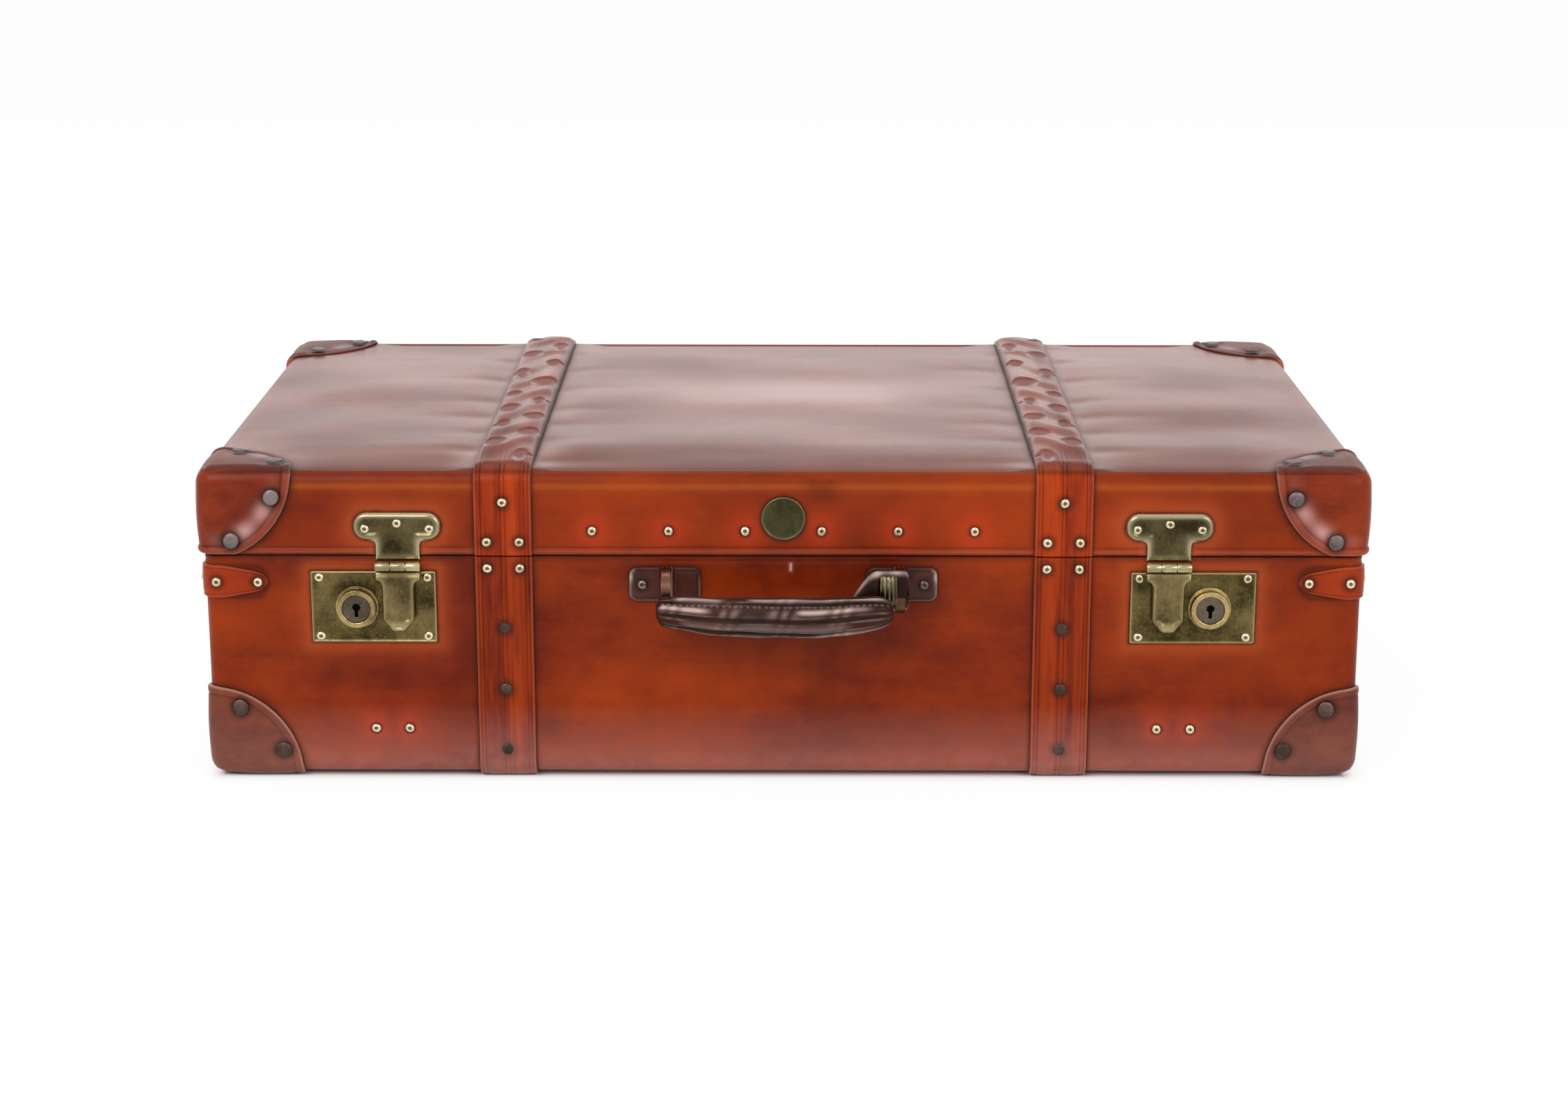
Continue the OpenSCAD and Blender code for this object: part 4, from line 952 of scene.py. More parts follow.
def handle_clip():
    """Brass clip in the mouth of the grip's right end: a bowed sheet along X, ridged across. Its
    parameters are the place along it and the turn round its oval."""
    x_mid, half = ring_x - 7.4 * MM, 5.6 * MM
    t = crowded(61)
    turn = full_turn(60)
    t, turn = np.meshgrid(t, turn, indexing="ij")
    end = np.clip(1 - np.abs(t) ** 14, 0, 1) ** 0.5
    ridge = 0.35 * MM * np.cos(2 * math.pi * t * half / (2.6 * MM))
    bow = 2.4 * MM * np.clip(1 - t ** 2, 0, 1)
    out = 15.0 * MM + bow * 0.5 - (1.9 * MM + ridge) * end * np.cos(turn) - 3.4 * MM * np.sin(turn) ** 2
    up = 7.0 * MM + (11.2 * MM + 0.5 * ridge) * end * np.sin(turn)
    points = on_handle(x_mid + t * half, out, up)
    piece = grid_piece("handle_clip_right", points, wrap_columns=True,
                       attributes={"groove": smooth_step(-ridge / (0.35 * MM), 0.1, 0.9)}, smooth_angle=60)
    return dress(piece, "handle", "aged_brass", clip_brass)


def handle_chape(side_name):
    """Strap end that holds a ring to the case: a flat tab with a border line on each side of a hump that
    is ridged across. Its height depends on the place along X and the distance from its outline."""
    side = SIDES[side_name]
    node = "handle_chape_" + side_name
    low, high = box_of(node)
    z_mid, half = (low[2] + high[2]) / 2, (high[2] - low[2]) / 2
    tab_t, hump, hump_half = 2.2 * MM, 4.4 * MM, 4.6 * MM
    inner, outer = -20 * MM, 23 * MM
    x = inner + (outer - inner) * (0.5 - 0.5 * np.cos(np.linspace(0, math.pi, 91)))
    round_r = 5 * MM
    near = np.clip(np.minimum(outer - x, x - inner), 0, round_r)
    half_width = half - round_r + np.sqrt(np.maximum(round_r ** 2 - (round_r - near) ** 2, 1e-9))
    u = crowded(35)
    inset = np.minimum((1 - np.abs(u))[None] * half_width[:, None], np.minimum(outer - x, x - inner)[:, None])
    on_hump = smooth_step(hump_half + 0.8 * MM - np.abs(x), 0, 1.8 * MM)[:, None]
    line = bell(inset - 1.9 * MM, 0.45 * MM) * (1 - on_hump)
    ridges = np.cos(2 * math.pi * x / (2.6 * MM))[:, None]
    height = tab_t * (0.25 + 0.75 * rounded_rise(inset, 1.0 * MM)) - 0.45 * MM * line
    height += on_hump * rounded_rise(inset, 2.2 * MM) * (hump + 0.4 * MM * ridges)
    height = np.maximum(height, under_gap + 0.2 * MM)
    face = base_low[1]
    centre = np.column_stack([side * (ring_x + x), np.full(len(x), face), np.full(len(x), z_mid)])
    across = np.tile([0.0, 0.0, 1.0], (len(x), 1))
    normal = np.tile([0.0, -1.0, 0.0], (len(x), 1))
    layers = {
        "groove": np.maximum(line, on_hump * smooth_step(-ridges, 0.0, 0.9)),
        "edge": bell(inset, 0.8 * MM) * (1 - on_hump) * (1 - 0.85 * smooth_step(u, 0.2, 0.95))[None],
        # shine: painted highlight on the outer end and on the hump's ridges
        "shine": bell(inset - 1.2 * MM, 1.0 * MM) * smooth_step(x, outer - 5 * MM, outer - 1 * MM)[:, None]
        * (0.2 + 0.8 * bell(u - 0.55, 0.35))[None] + 0.45 * on_hump * smooth_step(ridges, 0.2, 0.9),
    }
    piece = ribbon(node + "_tab", centre, across, normal, half_width, height, u, attributes=layers)
    return dress(piece, "base", "handle_leather", chape_leather, node)


# Nodes

class Wire:
    """An output socket; sums with it add Math nodes to its tree."""

    __array_ufunc__ = None  # so that a numpy number on the left leaves the sum to this class

    def __init__(self, socket):
        self.socket, self.tree = socket, socket.id_data

    def __sub__(self, other):
        return math_node("SUBTRACT", self, other)

    def __rsub__(self, other):
        return math_node("SUBTRACT", other, self)

    def __mul__(self, other):
        return math_node("MULTIPLY", self, other)

    def __abs__(self):
        return math_node("ABSOLUTE", self)

    def clamped(self):
        """Keeps the sum that gives this wire between 0 and 1."""
        self.socket.node.use_clamp = True
        return self


def feed(socket, value):
    """Links a wire to an input, or sets the input's value; a colour gets its alpha."""
    if isinstance(value, Wire):
        value.tree.links.new(value.socket, socket)
    else:
        socket.default_value = (*value, 1) if socket.type == "RGBA" else value


def add_node(tree, kind, settings=None, **inputs):
    """A node with its settings and inputs; i0, i1 and so on name an input by its place."""
    node = tree.nodes.new("ShaderNode" + kind)
    for key, value in (settings or {}).items():
        setattr(node, key, value)
    for key, value in inputs.items():
        by_place = key[0] == "i" and key[1:].isdigit()
        feed(node.inputs[int(key[1:]) if by_place else key.replace("_", " ")], value)
    return node


def add(tree, kind, settings=None, output=0, **inputs):
    """The wire from one output of a new node."""
    return Wire(add_node(tree, kind, settings, **inputs).outputs[output])


def math_node(operation, *values):
    """A Math node in the tree of the first wire among its values."""
    tree = next(value.tree for value in values if isinstance(value, Wire))
    return add(tree, "Math", {"operation": operation}, **{f"i{k}": value for k, value in enumerate(values)})


def most(a, b):
    return math_node("MAXIMUM", a, b)


def times_plus(a, b, c):
    """a times b plus c, as one node."""
    return math_node("MULTIPLY_ADD", a, b, c)


def mix_colour(factor, a, b, blend="MIX"):
    return add(factor.tree, "Mix", {"data_type": "RGBA", "blend_type": blend}, 2, i0=factor, i6=a, i7=b)


def ramp(factor, low, high, top=1.0):
    """0 up to low, then an even rise to the top at high."""
    node = add_node(factor.tree, "ValToRGB", Fac=factor)
    for element, place_at, value in zip(node.color_ramp.elements, (low, high), (0.0, top)):
        element.position = place_at
        element.color = (value, value, value, 1)
    return Wire(node.outputs[0])


def places(tree):
    """Places in the object's own frame."""
    return add(tree, "TexCoord", output="Object")


def axes(tree):
    """The three numbers of each place."""
    return [Wire(socket) for socket in add_node(tree, "SeparateXYZ", i0=places(tree)).outputs]


def noise(at, stretch, detail, roughness=0.55):
    """Cloudy noise, stretched by a scale for each axis."""
    scaled = add(at.tree, "Mapping", Vector=at, Scale=stretch)
    return add(at.tree, "TexNoise", Vector=scaled, Scale=1.0, Detail=detail, Roughness=roughness)


def fading(gap, width):
    """1 where the gap is nought, falling by the width."""
    return math_node("EXPONENT", gap * (-1 / width))


def beyond(value, middle, half):
    """How far a value is outside middle plus or minus half, or nought."""
    return most(abs(value - middle) - half, 0.0)


def length_of(*parts):
    total = 0.0
    for part in parts:
        total = times_plus(part, part, total)
    return math_node("SQRT", total)


def greatest(masks):
    """The strongest of some masks, each with its own strength."""
    total = 0.0
    for mask, strength in masks:
        total = most(total, mask * strength)
    return total


def soft_patch(a, b, centre_a, centre_b, reach_a, reach_b, width):
    """1 on a rectangle, fading outwards by the width."""
    return fading(length_of(beyond(a, centre_a, reach_a), beyond(b, centre_b, reach_b)), width)


def node_group(outputs, **inputs):
    """Makes the function below it into a node group: it turns wires of the group's inputs into those of
    its outputs. An input's default is a colour, a number, or None for a vector. What is left under the
    function's name adds the group to a tree and gives its outputs."""
    def make(build):
        group = bpy.data.node_groups.new(build.__name__, "ShaderNodeTree")
        for label, value in inputs.items():
            kind = "Vector" if value is None else "Color" if isinstance(value, tuple) else "Float"
            socket = group.interface.new_socket(label, in_out="INPUT", socket_type="NodeSocket" + kind)
            if value is not None:
                socket.default_value = (*value, 1) if kind == "Color" else value
        for label in outputs:
            kind = "Color" if label == "Color" else "Float"
            group.interface.new_socket(label, in_out="OUTPUT", socket_type="NodeSocket" + kind)
        given, result = group.nodes.new("NodeGroupInput"), group.nodes.new("NodeGroupOutput")
        wires = build(*[Wire(given.outputs[label]) for label in inputs])
        for label, wire in zip(outputs, [wires] if isinstance(wires, Wire) else wires):
            feed(result.inputs[label], wire)

        def use(tree, **values):
            node = tree.nodes.new("ShaderNodeGroup")
            node.node_tree = group
            for key, value in values.items():
                feed(node.inputs[key], value)
            wires = [Wire(socket) for socket in node.outputs]
            return wires if len(wires) > 1 else wires[0]

        return use

    return make


@node_group(("Color", "Roughness", "Height"), Light=(0.4, 0.1, 0.03), Dark=(0.1, 0.02, 0.01), Stain=0.6,
            Mottle=0.4, Streak=0.3, Polish=0.3, Grain=1.0, Lay=None)
def hide(light, dark, stain, mottle, streak, polish, grain, lay):
    """Waxed hide: tone from light to dark in broad clouds that lie lengthwise, fine mottling, brush
    streaks and creases; polish follows the tone."""
    broad = noise(lay, (6.5, 9.0, 10.5), 4.0, 0.52)
    spots = noise(lay, (34.0, 44.0, 44.0), 6.0, 0.65)
    lines = noise(lay, (16.0, 120.0, 150.0), 4.0, 0.6)
    at = places(lay.tree)
    fine = noise(at, (700.0,) * 3, 3.0)
    creases = add(lay.tree, "TexVoronoi", {"feature": "DISTANCE_TO_EDGE"}, Vector=at, Scale=420.0)
    amount = ramp(broad, 0.38, 0.66) * stain
    amount = times_plus(ramp(spots, 0.42, 0.72), mottle, amount)
    amount = times_plus(ramp(lines, 0.45, 0.75), streak, amount).clamped()
    rough = times_plus(broad - 0.5, 0.20, polish)
    relief = times_plus(fine, 0.6, ramp(creases, 0.0, 0.14) * 0.6) * grain
    return mix_colour(amount, light, dark), rough, relief


@node_group(("Color", "Roughness", "Height"), Bright=(0.7, 0.5, 0.2), Tarnish=(0.15, 0.12, 0.05), Cover=0.5,
            Scratches=0.5, Polish=0.25)
def old_metal(bright, tarnish, cover, scratches, polish):
    """Old brass: tarnish in clouds, bright where rubbed, with fine scratches."""
    at = places(cover.tree)
    cloud = noise(at, (42.0,) * 3, 6.0)
    spots = noise(at, (520.0,) * 3, 4.0, 0.7)
    scratch = ramp(noise(at, (900.0, 90.0, 240.0), 2.0), 0.60, 0.72)
    film = times_plus(times_plus(spots, 0.35, cloud) - 0.67, 3.2, cover)
    film = math_node("MINIMUM", most(film, 0.0), 1.0)
    film = (film - scratch * scratches).clamped()
    return mix_colour(film, bright, tarnish), times_plus(film, 0.2, polish), times_plus(spots, 0.6, scratch)


@node_group(("Color",), Color=(0.3, 0.1, 0.05), Tint=(0.1, 0.05, 0.03), Mask=0.0, Strength=0.5)
def tint(colour, hue, mask, strength):
    """A tint laid on by a mask, such as a worn edge with a painted highlight, a groove, or the painted shade
    and grime round a rivet.
    """
    return mix_colour((mask * strength).clamped(), colour, hue)


@node_group(("Mask",), Scale=95.0)
def blotch(scale):
    """Uneven blotches that break up the grime and painted shade, and the painted floor reflection."""
    return add(scale.tree, "TexNoise", Vector=places(scale.tree), Scale=scale, Detail=4.0, Roughness=0.6)


@node_group(("Gap",), X=0.0, Z=0.0, MiddleX=0.0, MiddleZ=0.0, FlatX=0.0, FlatZ=0.0, Round=0.0)
def fitting_gap(x, z, middle_x, middle_z, flat_x, flat_z, round_r):
    """Distance on the front from a rounded rectangle about MiddleX, MiddleZ, or nought inside it."""
    return most(length_of(beyond(x, middle_x, flat_x), beyond(z, middle_z, flat_z)) - round_r, 0.0)


@node_group(("Mask",), HalfWidth=0.35, HalfDepth=0.2, CornerZ=0.0)
def trim_shade(half_width, half_depth, corner_z):
    """Painted shade on the hide beside the bands and the corner caps."""
    x, y, z = axes(corner_z.tree)
    ax = abs(x)
    corner = length_of(half_width - ax, half_depth - abs(y - mid_y), z - corner_z)
    return greatest([(fading(beyond(ax, band_x, band_half), 1.7 * MM), 0.85),
                     (fading(most(corner - cap_reach, 0.0), 2.4 * MM), 0.9)])


@node_group(("Color", "Roughness"), Color=(0.3, 0.1, 0.05), Roughness=0.3, Grime=0.0, Blotch=0.5)
def shade_and_grime(colour, rough, shade_and_dirt, blotched):
    """Painted shade and dark grime, rougher than the hide under it and broken up by the blotches."""
    amount = (shade_and_dirt * times_plus(blotched, 0.9, 0.5)).clamped()
    return mix_colour(amount, colour, (0.020, 0.004, 0.002)), times_plus(amount, 0.2, rough)


@node_group(("Color",), Color=(0.3, 0.1, 0.05), Z=0.0, Blotch=0.5, Strength=0.5)
def painted_floor_reflection(colour, z, blotched, strength):
    """Pale painted reflection of the floor near the foot."""
    floor_reflection = times_plus(z, -1 / (48 * MM), 1.0).clamped()
    floor_reflection = (floor_reflection * times_plus(blotched, 0.9, 0.35)).clamped()
    return mix_colour(floor_reflection * strength, colour, (0.52, 0.26, 0.23))


@node_group(("Color", "Roughness"), Color=(0.3, 0.1, 0.05), Roughness=0.3, Z=0.0, Strength=0.8, Dull=0.0)
def top_tone(colour, rough, z, strength, dull):
    """Darker, cooler tone multiplied over the top; Dull makes the top rougher."""
    per_metre = 900.0  # how fast the tone comes in above its level
    top, upper = [((z - (lid_high[2] - below)) * per_metre).clamped() for below in (2.2 * MM, 1.0 * MM)]
    return mix_colour(top * strength, colour, (0.50, 0.62, 0.8), "MULTIPLY"), times_plus(upper, dull, rough)


# Finishes

def blank_tree(owner, kind):
    """Clears the nodes of a material or world; gives its tree and the surface input of a new output."""
    owner.use_nodes = True
    tree = owner.node_tree
    tree.nodes.clear()
    return tree, tree.nodes.new("ShaderNodeOutput" + kind).inputs[0]


def surface(tree, end, colour, rough, height, depth, **more):
    """The main shader, with fine relief in its normals."""
    bump = add(tree, "Bump", Height=height, Distance=depth, Strength=1.0)
    feed(end, add(tree, "BsdfPrincipled", Base_Color=colour, Roughness=rough, Normal=bump, **more))


def tinted(tree, colour, marks):
    """Tints by point attributes: each mark has its strength and its hue."""
    for mark, (strength, hue) in dict(marks).items():
        value = add(tree, "Attribute", {"attribute_name": mark}, "Fac")
        colour = tint(tree, Color=colour, Tint=hue, Mask=value, Strength=strength)
    return colour


def leather(name, light, dark, marks=(), paint=None, stain=0.6, mottle=0.4, streak=0.3, polish=0.3,
            depth=0.02 * MM, ior=1.22, lay=(1.0, 1.0, 1.0)):
    """Leather finish, tinted by its marks; paint may change the colour and roughness further by the
    place on the case."""
    material = bpy.data.materials.new(name)
    tree, end = blank_tree(material, "Material")
    along = add(tree, "Mapping", Vector=places(tree), Scale=lay)
    colour, rough, height = hide(tree, Light=light, Dark=dark, Stain=stain, Mottle=mottle, Streak=streak,
                                 Polish=polish, Grain=1.0, Lay=along)
    colour = tinted(tree, colour, marks)
    if paint:
        colour, rough = paint(tree, colour, rough)
    surface(tree, end, colour, rough, height, depth, IOR=ior)
    return material


def metal(name, bright, tarnish, cover, polish=0.22, marks=()):
    """Brass or iron finish: cover is how much of it the tarnish takes."""
    material = bpy.data.materials.new(name)
    tree, end = blank_tree(material, "Material")
    colour, rough, height = old_metal(tree, Bright=bright, Tarnish=tarnish, Cover=cover, Scratches=0.4,
                                      Polish=polish)
    surface(tree, end, tinted(tree, colour, marks), rough, height, 0.015 * MM, Metallic=1.0)
    return material


def cloth(name, colour, dark):
    """Twill lining: a fine wave laid aslant gives the diagonal weave."""
    material = bpy.data.materials.new(name)
    tree, end = blank_tree(material, "Material")
    turned = add(tree, "Mapping", Vector=places(tree), Rotation=(0.6, 0.6, math.pi / 4))
    weave = add(tree, "TexWave", output=1, Vector=turned, Scale=380.0, Distortion=0.6, Detail=1.0)
    cloud = noise(places(tree), (9.0,) * 3, 5.0)
    tone = mix_colour(ramp(cloud, 0.35, 0.75, 0.6), colour, dark)
    surface(tree, end, mix_colour(weave * 0.25, tone, dark), 0.85, weave, 0.15 * MM)
    return material


# Painted shade, grime and glow by the place on the case

def case_paint(low, high, corner_z, patches, rivets_at, extra):
    """Painted shade and grime beside bands, caps, fittings and rivets, with a lighter glow a little further
    out.
    """
    half_w, half_d = (high[0] - low[0]) / 2, (high[1] - low[1]) / 2
    rivet_r = 2.9 * MM

    def paint(tree, colour, rough):
        x, y, z = axes(tree)
        ax, ay = abs(x), abs(y - mid_y)
        front = math_node("LESS_THAN", y, low[1] + 4 * MM)
        masks = [(trim_shade(tree, HalfWidth=half_w, HalfDepth=half_d, CornerZ=corner_z), 1.0)]
        around = by_rivets = 0.0
        for centre_x, centre_z, reach_x, reach_z, round_r in patches:
            gap = fitting_gap(tree, X=ax, Z=z, MiddleX=centre_x, MiddleZ=centre_z,
                              FlatX=reach_x - round_r, FlatZ=reach_z - round_r, Round=round_r)
            # Painted shade close round each fitting
            masks.append((fading(gap, 1.5 * MM) * front, 0.9))
            if centre_x > band_x:
                around = most(around, fading(gap, 5 * MM) * front)
            else:
                # A wider painted shadow round the chapes
                masks.append((fading(gap, 7 * MM) * front, 0.35))
        for spot_x, spot_z in rivets_at:
            gap = fitting_gap(tree, X=ax, Z=z, MiddleX=spot_x, MiddleZ=spot_z, Round=rivet_r)
            # Painted shade and grime close round each rivet
            masks.append((fading(gap, 1.3 * MM) * front, 0.95))
            by_rivets = most(by_rivets, fading(gap, 7 * MM) * front)
        blotched = blotch(tree)
        for mask, hue in ((by_rivets, (0.54, 0.044, 0.007)), (around, (0.54, 0.090, 0.020))):
            colour = tint(tree, Color=colour, Tint=hue, Mask=mask, Strength=0.85)
        colour, masks = extra(tree, (x, y, z, ax, ay, front, blotched), colour, masks)
        return shade_and_grime(tree, Color=colour, Roughness=rough, Grime=greatest(masks), Blotch=blotched)

    return paint


def trim_paint(floor_reflection, deeper, dull):
    """Painted floor reflection near the foot and the darker tone on the top, on bands and caps."""
    def paint(tree, colour, rough):
        z = axes(tree)[2]
        colour = painted_floor_reflection(tree, Color=colour, Z=z, Blotch=blotch(tree), Strength=floor_reflection)
        return top_tone(tree, Color=colour, Roughness=rough, Z=z, Strength=deeper, Dull=dull)

    return paint


def base_extra(tree, around, colour, masks):
    """Painted shade along the seam edge and round the tabs, a painted shadow under the handle, the painted
    floor reflection near the foot, and a small nick.
    """
    x, _, z, ax, ay, front, blotched = around
    tip_r = 9 * MM
    tab_gap = length_of(most(tab_low[0] + tip_r - ax, 0.0), most(mid_y - tab_high[1] + tip_r - ay, 0.0),
                        beyond(z, (tab_low[2] + tab_high[2]) / 2, (tab_high[2] - tab_low[2]) / 2 - tip_r))
    # Painted shade in the seam, a darker tooled line, painted shade round the tabs, a painted shadow under
    # the handle, a darker stripe and a broken darker band low on the front
    masks += [
        (fading(abs(z - base_high[2]), 1.5 * MM), 1.1),
        (fading(abs(z - (base_high[2] - BASE_LINE)), 0.45 * MM), 0.18),
        (fading(most(tab_gap - tip_r, 0.0), 1.5 * MM), 0.6),
        (soft_patch(x, z, 0.0, 96 * MM, 62 * MM, 4 * MM, 11 * MM) * front, 0.5),
        (soft_patch(x, z, 22 * MM, 70 * MM, 8 * MM, 34 * MM, 9 * MM) * front, 0.28),
        (soft_patch(ax, z, 0.0, 30 * MM, 400 * MM, 8 * MM, 8 * MM) * blotched, 0.35),
    ]
    colour = painted_floor_reflection(tree, Color=colour, Z=z, Blotch=blotched)
    nick = soft_patch(x, z, 4.5 * MM, 134.5 * MM, 0.2 * MM, 2.0 * MM, 0.5 * MM) * front
    return mix_colour(nick, colour, (0.62, 0.40, 0.28)), masks


def lid_extra(tree, around, colour, masks):
    """Dark tooled line, painted shade along the seam, round the badge and along the upper front edge, a paler
    bead line above the seam, a painted highlight along the upper front and on the middle of the top, a stain
    down the front, and the top's darker tone.
    """
    x, y, z, _, ay, front, _ = around
    upright = math_node("LESS_THAN", z, lid_high[2] - 5 * MM)
    disc_gap = length_of(x, z - (badge_low[2] + badge_high[2]) / 2) - (badge_high[0] - badge_low[0]) / 2
    edge_gap = length_of(most(lid_high[2] - 5 * MM - z, 0.0), most(half_y - 7 * MM - ay, 0.0))
    # Darker tooled line, painted shade in the seam and round the badge, a stain, and painted shade along the
    # upper front edge
    masks += [
        (fading(abs(z - (lid_low[2] + LID_LINE)), 0.45 * MM), 0.5),
        (fading(abs(z - lid_low[2]), 0.7 * MM), 0.9),
        (fading(most(disc_gap, 0.0), 1.3 * MM) * front, 0.8),
        (soft_patch(x, z, 23 * MM, 186 * MM, 6 * MM, 8 * MM, 7 * MM) * front * upright, 0.4),
        (fading(edge_gap, 5 * MM) * math_node("LESS_THAN", y, mid_y), 0.15),
    ]
    # A paler line along the bead above the seam
    paler_zone = fading(beyond(z, lid_low[2] + 2.1 * MM, 0.4 * MM), 0.6 * MM)
    colour = mix_colour(paler_zone * 0.25, colour, (0.44, 0.14, 0.07))
    # Painted highlight along the upper front
    lip_highlight = fading(beyond(z, lid_high[2] - 9.5 * MM, 1.0 * MM), 1.5 * MM) * front
    colour = mix_colour(lip_highlight * 0.45, colour, (0.48, 0.10, 0.016))
    colour, _ = top_tone(tree, Color=colour, Z=z, Strength=0.85)
    # Painted highlight on the middle of the top
    paler_zone = soft_patch(x, y, 0.0, mid_y + 10 * MM, 60 * MM, 20 * MM, 55 * MM)
    paler_zone = paler_zone * math_node("GREATER_THAN", z, lid_high[2] - 2.5 * MM)
    return mix_colour(paler_zone * 0.4, colour, (0.62, 0.38, 0.34)), masks


def front_spots(node, low):
    """Places |x| and z of a node's rivets that sit straight on the front, clear of bands and plates."""
    spots = set()
    for foot, way in zip(*RIVETS[node]):
        clear = abs(abs(foot[0]) - band_x) > band_half + 3 * MM and abs(foot[0]) < tab_low[0]
        if way[1] < 0 and clear and foot[1] > low[1] - 2 * MM:
            spots.add((round(abs(foot[0]), 4), round(foot[2], 4)))
    return sorted(spots)


half_y = (lid_high[1] - lid_low[1]) / 2
tab_low, tab_high = box_of("corner_tab_front_right")
badge_low, badge_high = box_of("badge")


def patch(node, round_r=0.5 * MM):
    """Middle and half size along X and Z of a fitting on the front, and the rounding of its corners."""
    low, high = box_of(node)
    return ((low[0] + high[0]) / 2, (low[2] + high[2]) / 2, (high[0] - low[0]) / 2, (high[2] - low[2]) / 2,
            round_r)


wing_x, _, wing_half, _, _ = patch("hasp_plate_right")
wing_top = box_of("hasp_plate_right")[1][2]
HIDE_LIGHT, HIDE_DARK = (0.340, 0.038, 0.0012), (0.122, 0.0090, 0.001)
base_hide = leather(
    "base_leather", HIDE_LIGHT, HIDE_DARK, stain=0.8, mottle=0.35, streak=0.15, polish=0.34,
    paint=case_paint(base_low, base_high, base_low[2],
                     [patch("lock_plate_right"), patch("handle_chape_right", 5 * MM)],
                     front_spots("base_brass_rivets", base_low), base_extra))
lid_hide = leather(
    "lid_leather", HIDE_LIGHT, HIDE_DARK, stain=0.55, mottle=0.3, streak=0.12, polish=0.27,
    paint=case_paint(lid_low, lid_high, lid_high[2],
                     [(wing_x, wing_top - WING_R, wing_half, WING_R, 8.5 * MM),
                      (wing_x, 148 * MM, NECK_HALF, 6 * MM, 0.5 * MM)],
                     front_spots("lid_brass_rivets", lid_low), lid_extra))

# Marks: strength and hue of the tint at each point attribute
# Near-black tint for grime and painted shade: in grooves, round rivet heads and along the pads' inner brink
GRIME_AND_SHADE = (0.022, 0.005, 0.003)
# Straps: edge is a painted highlight along the rounded edges, with some wear; grooves and rivet surroundings
# take grime and painted shade
STRAP_MARKS = {"edge": (0.5, (0.50, 0.13, 0.06)), "groove": (0.28, GRIME_AND_SHADE), "rivet_shade_and_grime": (0.7, GRIME_AND_SHADE)}
# Pads: dip is a painted reflection of pale glare in the tufts' dishes, then painted shade at each tuft's near
# foot and a painted shadow line along the pad's inner edge
BAND_MARKS = {**STRAP_MARKS, "dip": (0.9, (0.46, 0.19, 0.14)), "tuft_shade": (0.7, (0.06, 0.016, 0.011)),
              "brink_shadow": (0.85, GRIME_AND_SHADE)}
# Caps: edge is a painted highlight along the outer edge, with some wear; grooves and rivet surroundings take
# grime and painted shade
CAP_MARKS = {"rim": (0.30, (0.40, 0.10, 0.06)), "edge": (0.5, (0.50, 0.24, 0.18)), "groove": (0.35, GRIME_AND_SHADE),
             "rivet_shade_and_grime": (0.75, GRIME_AND_SHADE)}
# Pale tint of the painted highlights called shine
SHINE = (0.80, (0.66, 0.47, 0.42))
# Handle: groove is near-black painted shade in the sunk seams; stitches are paler; shine is painted highlight
HANDLE_MARKS = {"groove": (0.85, (0.008, 0.004, 0.003)), "stitch": (0.55, (0.34, 0.20, 0.16)), "shine": SHINE}
# Chapes: edge and shine are painted highlights; groove and the rivets' surroundings are near-black painted
# shade
CHAPE_MARKS = {"edge": (0.6, (0.34, 0.20, 0.15)), "groove": (0.8, (0.010, 0.004, 0.003)),
               "rivet_shade_and_grime": (0.8, (0.010, 0.004, 0.003)), "shine": SHINE}
PIT = {"pit": (0.85, (0.040, 0.026, 0.018)), "foot": (0.5, (0.10, 0.07, 0.04))}

# Leather, board and cloth
LENGTHWISE = (10.0, 0.12, 0.12)
band_paint, cap_paint = trim_paint(0.55, 0.9, 0.0), trim_paint(0.22, 1.0, 0.15)
band_leather = leather(
    "band_leather", (0.44, 0.048, 0.003), (0.17, 0.011, 0.002), BAND_MARKS, band_paint, stain=0.5,
    mottle=0.3, streak=0.7, polish=0.27, lay=LENGTHWISE)
base_band_leather = leather(
    "base_band_leather", (0.37, 0.040, 0.002), (0.12, 0.009, 0.001), STRAP_MARKS, band_paint,
    streak=0.7, lay=LENGTHWISE)
tab_leather = leather(
    "tab_leather", (0.40, 0.042, 0.004), (0.15, 0.010, 0.002), STRAP_MARKS, streak=0.1)
# Lid caps: sheen is a painted highlight inside the rim. Base caps: a greyer copy of the cap leather, partly a
# painted reflection of the floor
CAP_FINISH = {
    "lid": leather("lid_cap_leather", (0.32, 0.042, 0.010), (0.12, 0.014, 0.006),
                   {"sheen": (0.72, (0.72, 0.42, 0.38)), **CAP_MARKS}, cap_paint, mottle=0.5, polish=0.24,
                   ior=1.19),
    "base": leather("base_cap_leather", (0.23, 0.056, 0.030), (0.11, 0.028, 0.018),
                    {**CAP_MARKS, "edge": (0.8, (0.52, 0.28, 0.20))}, cap_paint, stain=0.7, mottle=0.7,
                    polish=0.36, ior=1.2),
}
handle_leather = leather(
    "handle_leather", (0.060, 0.016, 0.009), (0.015, 0.004, 0.0025), HANDLE_MARKS, mottle=0.7, streak=0.4,
    ior=1.19, depth=0.06 * MM)
chape_leather = leather(
    "chape_leather", (0.120, 0.028, 0.016), (0.035, 0.010, 0.007), CHAPE_MARKS, stain=0.8, mottle=0.8,
    polish=0.34, ior=1.28, depth=0.05 * MM)
lip_leather = leather("lip_leather", (0.20, 0.06, 0.025), (0.09, 0.025, 0.012), stain=0.5)
board_paper = leather("board_paper", (0.22, 0.09, 0.04), (0.10, 0.04, 0.02), stain=0.4, polish=0.6)
